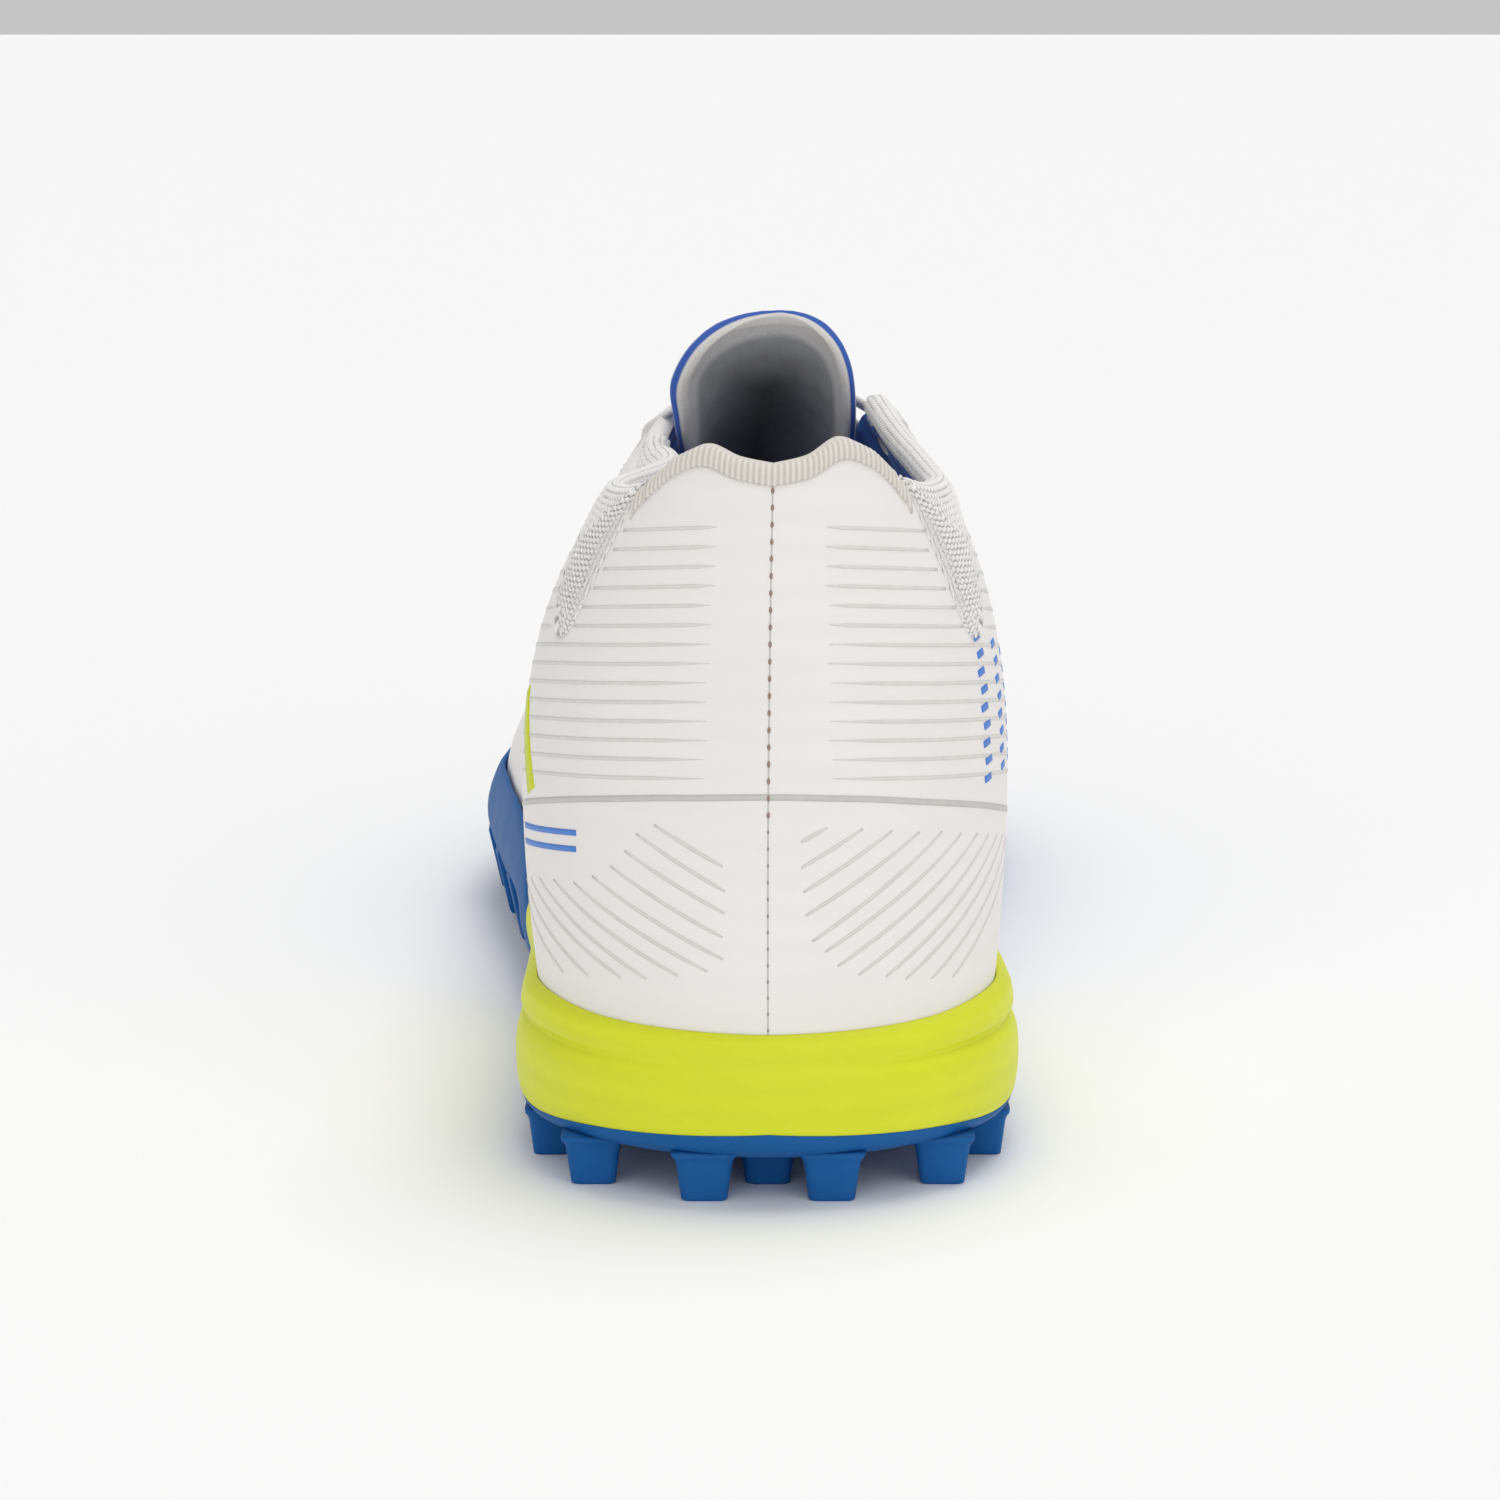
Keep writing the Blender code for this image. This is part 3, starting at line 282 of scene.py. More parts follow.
# The sole's side. at: share round the side; rim: top of the midsole above the footbed; edge: top of
# the rubber above the footbed; widest: the rubber's widest line below its top edge; base: inset of the
# rubber's lower corner; widest_in and edge_in: insets of those two lines; tray: inset of the rubber's
# inner face. Heights are shares of SOLE_HEIGHT and insets are shares of BALL_WIDTH
SOLE_SIDE = table(
    "at rim edge widest base widest_in edge_in tray",
    (0.00, 0.275, -0.430, 0.040, 0.040, 0.009, 0.008, 0.023),
    (0.08, 0.290, -0.500, 0.040, 0.034, 0.009, 0.008, 0.023),
    (0.14, 0.325, -0.560, 0.030, 0.030, 0.009, 0.008, 0.023),
    (0.28, 0.325, -0.535, 0.030, 0.030, 0.009, 0.008, 0.023),
    (0.36, 0.300, -0.460, 0.060, 0.032, 0.008, 0.009, 0.024),
    (0.43, 0.220, -0.080, 0.200, 0.036, 0.003, 0.014, 0.025),
    (0.49, 0.110, 0.380, 0.360, 0.038, 0.000, 0.018, 0.027),
    (0.56, 0.050, 0.570, 0.400, 0.040, 0.000, 0.020, 0.030),
    (0.75, 0.050, 0.600, 0.400, 0.040, 0.000, 0.020, 0.030),
    (0.90, 0.050, 0.560, 0.380, 0.042, 0.000, 0.022, 0.033),
    (1.00, 0.050, 0.520, 0.350, 0.042, 0.000, 0.024, 0.036),
)
# How far in the rubber's side is halfway down to its lower corner, share of that corner's inset
SIDE_HOLLOW = 0.30
# The midsole's side, from its lower edge to its rim. at: share of that height; inset: share of
# BALL_WIDTH
FOAM_SIDE = (
    (0.00, 0.0080, 0.000),
    (0.08, 0.0040, 0.000),
    (0.20, 0.0010, 0.000),
    (0.34, 0.0000, 0.000),
    (0.48, 0.0010, 0.000),
    (0.58, 0.0035, 0.001),
    (0.64, 0.0060, 0.005),
    (0.68, 0.0080, 0.011),
    (0.71, 0.0090, 0.005),
    (0.76, 0.0100, -0.002),
    (0.86, 0.0115, -0.001),
    (0.94, 0.0135, 0.000),
)
FOAM_HIDDEN_HEIGHT = 0.0050
FOAM_FADE_START = 0.0028
FOAM_FADE = 0.0040
RIM_THICKNESS = 0.0010
# The rubber's lip over the midsole's rim at the forefoot
LIP_THICKNESS = 0.0013
LIP_FADE = 0.0030
LEDGE_LIFT = 0.0012

# Rows of lugs. at: share of LENGTH; span: place of the outer lugs either side of the middle, share of
# BALL_WIDTH; count: lugs in the row; size: share of LUG_SIZE
LUG_SIZE = 0.0090
LUG_ROWS = (
    (0.030, 0.092, 2, 0.95),
    (0.058, 0.255, 3, 0.92),
    (0.108, 0.322, 4, 0.80),
    (0.162, 0.240, 3, 0.95),
    (0.216, 0.300, 3, 0.95),
    (0.275, 0.220, 2, 0.95),
    (0.465, 0.280, 3, 0.95),
    (0.525, 0.230, 2, 0.95),
    (0.585, 0.300, 3, 1.00),
    (0.645, 0.370, 4, 1.00),
    (0.705, 0.270, 3, 1.00),
    (0.765, 0.370, 4, 1.00),
    (0.822, 0.250, 3, 1.00),
    (0.876, 0.290, 3, 0.95),
    (0.926, 0.160, 2, 0.90),
)
# Wedges up the forefoot's side, between these shares round the side
SIDE_RIBS = 7
SIDE_RIB_START = 0.53
SIDE_RIB_END = 0.93
SIDE_RIB_WIDTH = 0.0056
SIDE_RIB_HEIGHT = 0.0125
SIDE_RIB_FOOT = 0.0016
SIDE_RIB_PROUD = 0.0010
SIDE_RIB_TOP_INSET = 0.0004
SIDE_RIB_FOOT_DEPTH = 0.0028
SIDE_RIB_TOP_DEPTH = 0.0012

# The tongue's middle line, from its top. y: share of LENGTH; z: height; x: share of BALL_WIDTH
TONGUE_LINE = (
    (0.308, 1.000 * TONGUE_HEIGHT, 0.022),
    (0.345, 0.900 * TONGUE_HEIGHT, 0.010),
    (0.400, 0.831 * INSTEP_HEIGHT, -0.012),
    (0.470, 0.718 * INSTEP_HEIGHT, -0.022),
    (0.560, 0.583 * INSTEP_HEIGHT, -0.024),
    (0.640, 0.485 * INSTEP_HEIGHT, -0.020),
)
# Its curl. at: share of the middle line from the top; half_angle: in degrees; radius: share of
# BALL_WIDTH; skew: breadth of the lateral half to the medial half's
TONGUE_CURL = table(
    "at half_angle radius skew",
    (0.000, 2.0, 0.120, 1.36),
    (0.004, 20.0, 0.120, 1.36),
    (0.016, 40.0, 0.121, 1.36),
    (0.034, 55.0, 0.123, 1.36),
    (0.066, 68.0, 0.125, 1.36),
    (0.120, 76.0, 0.128, 1.22),
    (0.200, 80.0, 0.132, 1.04),
    (0.350, 70.0, 0.142, 1.00),
    (0.600, 52.0, 0.195, 1.00),
    (1.000, 38.0, 0.270, 1.00),
)

# Stations round one side, from the heel's middle to the toe's
HEEL_STATIONS = (0.000, 0.022, 0.044, 0.062, 0.080)
SEAM_STATIONS = (0.088, 0.096, 0.105, 0.113, 0.120, 0.126, 0.132, 0.138, 0.144, 0.152)
QUARTER_STATIONS = (0.170, 0.200, 0.235, 0.270, 0.300, 0.320, 0.340, 0.365, 0.400, 0.440, 0.480)
THROAT_STATIONS = (0.510, 0.530, 0.545, 0.557, 0.566, 0.572, 0.575)
VAMP_STATIONS = (0.605, 0.645, 0.690, 0.735, 0.780, 0.820, 0.858, 0.893, 0.928, 0.964, 1.000)
UPPER_STATIONS = HEEL_STATIONS + SEAM_STATIONS + QUARTER_STATIONS + THROAT_STATIONS + VAMP_STATIONS
SOLE_STATIONS = tuple(sorted(
    HEEL_STATIONS + QUARTER_STATIONS + VAMP_STATIONS
    + (0.096, 0.113, 0.132, 0.152, 0.420, 0.460, 0.530, 0.566)
))


# The last

def end_round(at):
    """How much of the full breadth is left where the heel and the toe round off."""
    heel = 1 - np.clip(1 - at / HEEL_ROUND, 0, 1) ** 2
    toe = 1 - np.clip((at - 1 + TOE_ROUND) / TOE_ROUND, 0, 1) ** TOE_POWER
    return np.sqrt(np.clip(heel, 0, 1)) * np.clip(toe, 0, 1) ** (1 / TOE_BLUNT)


@lru_cache(None)
def side_line(side):
    """One side of the sole's outline, with each point's share of the way from heel to toe."""
    at = (1 - np.cos(np.linspace(0, math.pi, 1200))) / 2
    x = (PLAN["centre"](at) + side * PLAN["half"](at) * end_round(at)) * BALL_WIDTH
    points = np.c_[x, at * LENGTH]
    length = np.r_[0, np.cumsum(np.hypot(*np.diff(points, axis=0).T))]
    return points, length / length[-1]


def side_of(s):
    return 1 if s > 0 else -1


def wrap(s):
    """Stations run from -1, the toe, by 0, the heel, to 1, the toe again."""
    return (s + 1) % 2 - 1


def edge_point(s):
    points, share = side_line(side_of(s))
    return np.array([np.interp(abs(s), share, points[:, k]) for k in (0, 1)])


@lru_cache(None)
def outline(s):
    """A point of the sole's outline and its outward direction."""
    ahead = edge_point(wrap(s + 0.002))
    behind = edge_point(wrap(s - 0.002))
    along = (ahead - behind) / np.linalg.norm(ahead - behind)
    return edge_point(s), np.array([along[1], -along[0]])


def inset_point(s, inset, height):
    """A point in from the outline. height is a number, or a function of the point's own y."""
    point, outward = outline(s)
    x, y = point - outward * inset
    return (x, y, height(y) if callable(height) else height)


def underside(y):
    return ALONG["underside"](y / LENGTH) * SOLE_HEIGHT


def footbed(y):
    return ALONG["footbed"](y / LENGTH) * SOLE_HEIGHT


def ridge(y):
    """The last's middle line over the instep and toe."""
    x = (PLAN["centre"](y / LENGTH) * RIDGE_SWAY + RIDGE_OFFSET) * BALL_WIDTH
    return np.array([x, y, float(ALONG["ridge"](y / LENGTH))])


def aim(u):
    """The point of the ridge that the two ribs of a station lean towards."""
    at = (edge_point(u)[1] + edge_point(-u)[1]) / 2 / LENGTH
    back = HEEL_FAN * max(0, 1 - at / HEEL_FAN_END) ** 2
    pull = TOE_FAN * max(0, at - TOE_FAN_START) ** 2 / (1 - TOE_FAN_START)
    return ridge((at + back - pull) * LENGTH)


class Rib:
    """One curve over the last, from the sole's edge inwards, measured by the length along it."""

    def __init__(self, s):
        side, u = side_of(s), abs(s)
        value = {name: float(column(u)) for name, column in RIBS[side].items()}
        foot, outward = outline(s)
        foot = foot - outward * FEATHER["inset"](u) * BALL_WIDTH
        target = aim(u)
        inward = target[:2] - foot
        span = np.linalg.norm(inward)
        inward = inward / span
        base = footbed(foot[1]) + GAP
        top = base + (target[2] * value["top"] - base)
        lean = min(value["lean"], value["reach"] * 0.9)
        control = np.array([
            (0, base),
            (-value["bulge"] * BALL_WIDTH, base + value["up"] * (top - base)),
            (lean * span, top - value["drop"] * INSTEP_HEIGHT),
            (value["reach"] * span, top),
        ])
        t = np.linspace(0, 1, 160)[:, None]
        curve = ((1 - t) ** 3 * control[0] + 3 * t * (1 - t) ** 2 * control[1]
                 + 3 * t * t * (1 - t) * control[2] + t ** 3 * control[3])
        level = foot + inward * curve[:, :1]
        self.points = np.c_[level, curve[:, 1]]
        self.length = np.r_[0, np.cumsum(np.linalg.norm(np.diff(curve, axis=0), axis=1))]
        self.full = self.length[-1]
        self.top = self.trimmed(side, u, span, curve)

    def trimmed(self, side, u, span, curve):
        """Length up to the collar's edge or the throat's, whichever comes first."""
        if u >= THROAT_END:
            return self.full
        collar = throat = self.full + THROAT_BLEND
        if u < COLLAR_END:
            height = TOPLINE[side]["height"](u) * COLLAR_HEIGHT
            if height < curve[-1, 1]:
                collar = np.interp(height, curve[:, 1], self.length)
        if u >= THROAT_START:
            front = np.clip((u - THROAT_END + THROAT_ROUND) / THROAT_ROUND, 0, 1)
            half = THROAT["half"](u) * BALL_WIDTH * math.sqrt(1 - front ** 2)
            if span - half < curve[-1, 0]:
                throat = np.interp(span - half, curve[:, 0], self.length)
        near = np.clip(0.5 + 0.5 * (throat - collar) / THROAT_BLEND, 0, 1)
        both = throat * (1 - near) + collar * near - THROAT_BLEND * near * (1 - near)
        return float(min(both, self.full))

    def at(self, length):
        return np.array([np.interp(length, self.length, self.points[:, k]) for k in range(3)])


@lru_cache(None)
def rib(s):
    return Rib(s)


def skin(s, length):
    """The outer face at a station, this far up its rib. Past the ridge it goes down the other side."""
    s = wrap(s)
    full = rib(s).full
    if length > full:
        return rib(wrap(-s)).at(rib(wrap(-s)).full - (length - full))
    return rib(s).at(length)


@lru_cache(None)
def outward(s, length):
    """Unit normal of the outer face."""
    full = rib(wrap(s)).full
    share = length / full
    step = 0.004
    ahead, behind = wrap(s + step), wrap(s - step)
    along = skin(ahead, share * rib(ahead).full) - skin(behind, share * rib(behind).full)
    above = length + 0.001
    if abs(wrap(s)) == 1:
        out = outline(wrap(s))[1]
        along = np.array([-out[1], out[0], 0])
        above = min(above, full)
    up = skin(s, above) - skin(s, max(0.0, length - 0.001))
    normal = np.cross(along, up)
    return normal / np.linalg.norm(normal)


def wall(s, length, lift=0.0):
    """A point this far outside the outer face, or inside where lift is negative."""
    return skin(s, length) + outward(s, length) * lift


def skin_inset(s, height):
    """How far in from the sole's outline the upper's outer face is at a height."""
    here = rib(s)
    side_point, direction = outline(s)
    low = here.points[:40]
    point = np.array([np.interp(height, low[:, 2], low[:, k]) for k in (0, 1)])
    return float(np.dot(side_point - point, direction))


def seam_length(s):
    """Length up to the knit collar's lower seam, which is the collar's edge behind it."""
    u = abs(s)
    start, end = SEAM_STATIONS[0] - 0.008, KNIT_END
    if u < start or u > end:
        return rib(s).top
    return rib(s).top - float(SEAM["drop"](u)) * COLLAR_HEIGHT


def seam_slope(s):
    """How much longer a band's height is where the seam runs steeply."""
    step = 0.004
    ahead, behind = abs(s) + step, max(abs(s) - step, 0.0)
    side = side_of(s)
    rise = seam_length(side * ahead) - rib(side * ahead).top
    rise -= seam_length(side * behind) - rib(side * behind).top
    edges = [skin(side * u, rib(side * u).top) for u in (ahead, behind)]
    run = np.linalg.norm(edges[0] - edges[1])
    return math.hypot(1, rise / max(run, 0.001))


def binding_height(s):
    return BINDING_WIDTH * seam_slope(s) if abs(s) <= BINDING_END + 1e-6 else 0.0


def upper_top(s):
    """Length up to the upper's own edge, under the binding and the knit collar."""
    below = binding_height(s) + GAP if abs(s) <= BINDING_END + 1e-6 else 0.0
    return seam_length(s) - below


def sole_value(name, s):
    return float(SOLE_SIDE[name](abs(s)))


def side_heights(s):
    """Tray floor, rubber edge, midsole rim and the lowest line of the midsole's open side."""
    y = edge_point(s)[1]
    floor = underside(y) + RUBBER_BASE
    edge = max(footbed(y) + sole_value("edge", s) * SOLE_HEIGHT, floor + 0.0005)
    rim = footbed(y) + sole_value("rim", s) * SOLE_HEIGHT
    start = min(edge - GAP, rim - FOAM_HIDDEN_HEIGHT)
    return floor, edge, rim, start


def edge_inset(s):
    """Inset of the rubber's top edge, which leans in to the upper where it rises past the midsole."""
    _, edge, rim, _ = side_heights(s)
    free = sole_value("edge_in", s) * BALL_WIDTH
    leaning = skin_inset(s, edge) - GAP - LIP_THICKNESS
    share = np.clip((edge - rim) / LIP_FADE, 0, 1)
    return float(free + (leaning - free) * share)


def rubber_outside(s):
    """Inset and height of the rubber's side, from its lower corner to its top edge."""
    _, edge, _, _ = side_heights(s)
    bottom = underside(edge_point(s)[1])
    base = sole_value("base", s) * BALL_WIDTH
    widest = edge - sole_value("widest", s) * SOLE_HEIGHT
    widest_in = sole_value("widest_in", s) * BALL_WIDTH
    return [
        (base, bottom + 0.0005),
        (widest_in + SIDE_HOLLOW * (base - widest_in), bottom + 0.5 * (widest - bottom)),
        (widest_in, widest),
        (edge_inset(s), edge),
    ]


def rubber_inside(s, height):
    """Inset of the rubber's inner face at a height."""
    _, _, rim, _ = side_heights(s)
    if height > rim + LEDGE_LIFT / 2:
        return skin_inset(s, height) - GAP
    insets, heights = zip(*rubber_outside(s))
    return max(sole_value("tray", s) * BALL_WIDTH, float(np.interp(height, heights, insets)) + RUBBER_EDGE)


def rubber_profile(s):
    floor, edge, rim, start = side_heights(s)
    outside = rubber_outside(s)
    shoulder = min(start, edge - 0.0003)
    middle = 0.5 * (floor + shoulder)
    ledge = min(rim + LEDGE_LIFT, edge - 0.0001)
    below_ledge = min(rim + LEDGE_LIFT / 2, edge - 0.0002)
    lip = 0.5 * (edge + ledge)
    return [inset_point(s, outside[0][0] + 0.0015, underside)] + [
        inset_point(s, inset, height) for inset, height in outside
    ] + [
        inset_point(s, rubber_inside(s, z), z) for z in (edge, lip, ledge, below_ledge, shoulder, middle)
    ] + [
        inset_point(s, rubber_inside(s, floor), lambda y: underside(y) + RUBBER_BASE),
    ]


def foam_profile(s):
    floor, edge, rim, start = side_heights(s)
    shoulder = min(start, edge - 0.0003)
    middle = 0.5 * (floor + shoulder)
    tray = rubber_inside(s, shoulder) + GAP
    corner = rubber_inside(s, floor) + GAP
    shown = np.clip((rim - FOAM_HIDDEN_HEIGHT - FOAM_FADE_START - edge) / FOAM_FADE, 0, 1)
    shown = shown * shown * (3 - 2 * shown)
    groove = float(np.clip((abs(s) - 0.035) / 0.075, 0, 1)) ** 0.8
    rows = [
        inset_point(s, corner + 0.0006, lambda y: underside(y) + RUBBER_BASE + GAP),
        inset_point(s, max(tray, rubber_inside(s, middle) + GAP), middle),
        inset_point(s, tray, start),
    ]
    for at, inset, cut in FOAM_SIDE:
        proud = inset + cut * groove
        rows.append(inset_point(s, tray + (proud * BALL_WIDTH - tray) * shown, start + at * (rim - start)))
    inner = skin_inset(s, rim) + 0.5 * GAP
    rows += [
        inset_point(s, min(inner - RIM_THICKNESS * 0.6, tray + 0.0002), rim),
        inset_point(s, inner, rim),
        inset_point(s, FEATHER["inset"](abs(s)) * BALL_WIDTH - GAP, footbed),
    ]
    return rows


def insole_profile(s):
    inset = FEATHER["inset"](abs(s)) * BALL_WIDTH + UPPER_WALL + 2 * GAP
    edge = 0.0006
    rise = (
        (edge, GAP),
        (0.0, GAP + edge),
        (0.0, GAP + INSOLE_THICKNESS - edge),
        (edge, GAP + INSOLE_THICKNESS),
    )
    return [inset_point(s, inset + more, lambda y, z=z: footbed(y) + z) for more, z in rise]


def tongue_frame(share):
    """Middle line point, its direction towards the toe end, and the outer normal there."""
    line = np.array([(x * BALL_WIDTH, y * LENGTH, z) for y, z, x in TONGUE_LINE])
    run = np.r_[0, np.cumsum(np.linalg.norm(np.diff(line, axis=0), axis=1))]
    curves = [smooth(run / run[-1], line[:, k]) for k in range(3)]
    here = np.array([float(curve(share)) for curve in curves])
    after = np.array([float(curve(min(share + 0.01, 1))) for curve in curves])
    before = np.array([float(curve(max(share - 0.01, 0))) for curve in curves])
    along = (after - before) / np.linalg.norm(after - before)
    normal = np.cross(along, (-1, 0, 0))
    return here, along, normal / np.linalg.norm(normal)


def tongue_point(share, across, lift):
    """across runs from -1 to 1 over the curl."""
    middle, _, normal = tongue_frame(share)
    radius = float(TONGUE_CURL["radius"](share)) * BALL_WIDTH
    angle = math.radians(float(TONGUE_CURL["half_angle"](share))) * across
    aside = math.sin(angle) * (float(TONGUE_CURL["skew"](share)) if across < 0 else 1)
    out = radius + lift
    return middle + np.array([aside, 0, 0]) * out + normal * (math.cos(angle) * out - radius)


# Meshes

SHIFT = np.array([
    -(side_line(-1)[0][:, 0].min() + side_line(1)[0][:, 0].max()) / 2,
    -LENGTH / 2,
    0.0,
])


def piece(name, points, faces, materials, slots=None, uv=None, values=None, node=None, slot=None, flat=False):
    """A mesh of the shoe from points in the heel's frame. values: named numbers, one for each point."""
    mesh = bpy.data.meshes.new(name)
    places = np.asarray(points, float) + SHIFT
    mesh.from_pydata(places.tolist(), [], [tuple(int(i) for i in face) for face in faces])
    for made in materials:
        mesh.materials.append(made)
    if slots is not None:
        mesh.polygons.foreach_set("material_index", np.asarray(slots, np.int32))
    if uv is not None:
        layer = mesh.uv_layers.new(name="uv")
        corner = np.zeros(len(mesh.loops), np.int32)
        mesh.loops.foreach_get("vertex_index", corner)
        layer.data.foreach_set("uv", np.asarray(uv, float)[corner].ravel())
    for key, numbers in (values or {}).items():
        attribute = mesh.attributes.new(key, "FLOAT", "POINT")
        attribute.data.foreach_set("value", np.asarray(numbers, np.float32))
    work = bmesh.new()
    work.from_mesh(mesh)
    bmesh.ops.remove_doubles(work, verts=work.verts, dist=2e-7)
    bmesh.ops.recalc_face_normals(work, faces=work.faces)
    for face in work.faces:
        face.smooth = not flat
    work.to_mesh(mesh)
    work.free()
    made = bpy.data.objects.new(name, mesh)
    bpy.context.scene.collection.objects.link(made)
    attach(made, "root")
    if node:
        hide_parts(*node.split())
    return made


def grid(columns, rows, closed, start=0, flip=False):
    i = np.arange(columns if closed else columns - 1)[:, None]
    j = np.arange(rows - 1)[None, :]
    a = start + i * rows + j
    b = start + ((i + 1) % columns) * rows + j
    faces = np.stack([a, b, b + 1, a + 1], -1).reshape(-1, 4)
    return faces[:, ::-1] if flip else faces


def shell(outer, inner, closed):
    """Points and faces of a closed wall between two arrays of columns by rows."""
    columns, rows = outer.shape[:2]
    half = columns * rows
    points = np.concatenate([outer.reshape(-1, 3), inner.reshape(-1, 3)])
    faces = [grid(columns, rows, closed), grid(columns, rows, closed, half, True)]
    i = np.arange(columns if closed else columns - 1)
    k = (i + 1) % columns
    for j in (0, rows - 1):
        a, b = i * rows + j, k * rows + j
        faces.append(np.stack([a, b, b + half, a + half], -1))
    if not closed:
        for i in (0, columns - 1):
            a = i * rows + np.arange(rows - 1)
            faces.append(np.stack([a, a + 1, a + 1 + half, a + half], -1))
    return points, faces


def ring(stations):
    return [-u for u in reversed(stations)] + [u for u in stations if 0 < u < 1]


def dense(stations, step):
    """The same stations with even ones between them, none further apart than step."""
    found = [stations[0]]
    for a, b in zip(stations[:-1], stations[1:]):
        count = max(1, math.ceil((b - a) / step - 1e-9))
        found += [round(a + (b - a) * (k + 1) / count, 6) for k in range(count)]
    return found


def rounded(profile, times=2):
    """Cuts the corners of an open line of points."""
    line = np.asarray(profile, float)
    for _ in range(times):
        a, b = line[:-1], line[1:]
        cut = np.stack([a * 0.75 + b * 0.25, a * 0.25 + b * 0.75], 1).reshape(-1, line.shape[1])
        line = np.concatenate([line[:1], cut, line[-1:]])
    return line


def loft(name, profile, stations, **words):
    """A closed solid round the outline, with its profile's corners rounded."""
    around = ring(stations)
    columns = np.array([profile(s) for s in around])
    count, rows = columns.shape[:2]
    faces = [tuple(f) for f in grid(count, rows, True)]
    for j in (0, rows - 1):
        for k in range(len(stations) - 1):
            loop = [k, k + 1, (count - k - 1) % count, (count - k) % count]
            loop = list(dict.fromkeys(i % count for i in loop))
            faces.append(tuple(i * rows + j for i in loop))
    return piece(name, columns.reshape(-1, 3), faces, **words)


def merge(parts):
    """Joins lists of (points, faces) into one."""
    points, faces, start = [], [], 0
    for part_points, part_faces in parts:
        points.append(np.asarray(part_points, float).reshape(-1, 3))
        faces += [tuple(int(i) + start for i in face) for face in part_faces]
        start += len(points[-1])
    return np.concatenate(points), faces


# Materials

def node(tree, kind, inputs=None, **settings):
    made = tree.nodes.new(kind)
    for key, value in settings.items():
        setattr(made, key, value)
    for key, value in (inputs or {}).items():
        if isinstance(value, bpy.types.NodeSocket):
            tree.links.new(value, made.inputs[key])
        else:
            made.inputs[key].default_value = value
    return made


def math_node(tree, operation, a, b=None, c=None):
    inputs = {k: v for k, v in enumerate((a, b, c)) if v is not None}
    return node(tree, "ShaderNodeMath", inputs, operation=operation).outputs[0]


def base_material(name, roughness, sheen=0.0, specular=0.5):
    made = bpy.data.materials.new(name)
    made.use_nodes = True
    tree = made.node_tree
    shader = tree.nodes["Principled BSDF"]
    shader.inputs["Roughness"].default_value = roughness
    shader.inputs["Specular IOR Level"].default_value = specular
    if sheen:
        shader.inputs["Sheen Weight"].default_value = sheen
        shader.inputs["Sheen Roughness"].default_value = 0.4
    return made, tree, shader


def mixed(tree, share, low, high):
    made = tree.nodes.new("ShaderNodeMix")
    made.data_type = "RGBA"
    tree.links.new(share, made.inputs[0])
    for socket, value in ((made.inputs[6], low), (made.inputs[7], high)):
        if isinstance(value, bpy.types.NodeSocket):
            tree.links.new(value, socket)
        else:
            socket.default_value = (*value, 1)
    return made.outputs[2]


def place(tree, scale=(1, 1, 1)):
    where = tree.nodes.new("ShaderNodeTexCoord")
    return node(tree, "ShaderNodeMapping", {"Vector": where.outputs["Object"], "Scale": scale}).outputs[0]


def noise(tree, vector, scale, detail=2.0, roughness=0.5):
    inputs = {"Vector": vector, "Scale": scale, "Detail": detail, "Roughness": roughness}
    return node(tree, "ShaderNodeTexNoise", inputs).outputs[0]


def wave(tree, vector, scale, direction="X", distortion=0.0, detail_scale=1.0):
    inputs = {"Vector": vector, "Scale": scale, "Distortion": distortion, "Detail Scale": detail_scale}
    made = node(tree, "ShaderNodeTexWave", inputs, bands_direction=direction)
    return made.outputs[1]


def bump(tree, shader, height, strength, distance):
    made = node(tree, "ShaderNodeBump", {"Height": height, "Strength": strength, "Distance": distance})
    tree.links.new(made.outputs[0], shader.inputs["Normal"])


def uv_place(tree, scale=(1, 1, 1)):
    where = tree.nodes.new("ShaderNodeUVMap")
    where.uv_map = "uv"
    return node(tree, "ShaderNodeMapping", {"Vector": where.outputs[0], "Scale": scale}).outputs[0]


def number(tree, name):
    made = tree.nodes.new("ShaderNodeAttribute")
    made.attribute_name = name
    return made.outputs["Fac"]


def cloth_material(name, colour, darker, pitch, roughness=0.8, depth=0.00008, sheen=0.15, mottle=0.5):
    """Woven cloth: two crossing sets of threads of the given pitch, in metres, and a soft mottle."""
    made, tree, shader = base_material(name, roughness, sheen, 0.3)
    where = uv_place(tree)
    warp = wave(tree, where, 1 / pitch / 20, "X", 0.6, 2.0)
    weft = wave(tree, where, 1 / pitch / 20, "Y", 0.6, 2.0)
    weave = math_node(tree, "MULTIPLY", warp, weft)
    cloud = noise(tree, place(tree), 90.0, 4.0)
    share = math_node(tree, "MULTIPLY_ADD", cloud, mottle, math_node(tree, "MULTIPLY", weave, 1 - mottle))
    tree.links.new(mixed(tree, share, darker, colour), shader.inputs["Base Color"])
    bump(tree, shader, weave, 0.5, depth)
    return made


def print_material(name, colour, roughness=0.45):
    made, tree, shader = base_material(name, roughness, 0.0, 0.4)
    cloud = noise(tree, place(tree), 700.0, 3.0)
    darker = tuple(c * 0.86 for c in colour)
    tree.links.new(mixed(tree, cloud, darker, colour), shader.inputs["Base Color"])
    return made


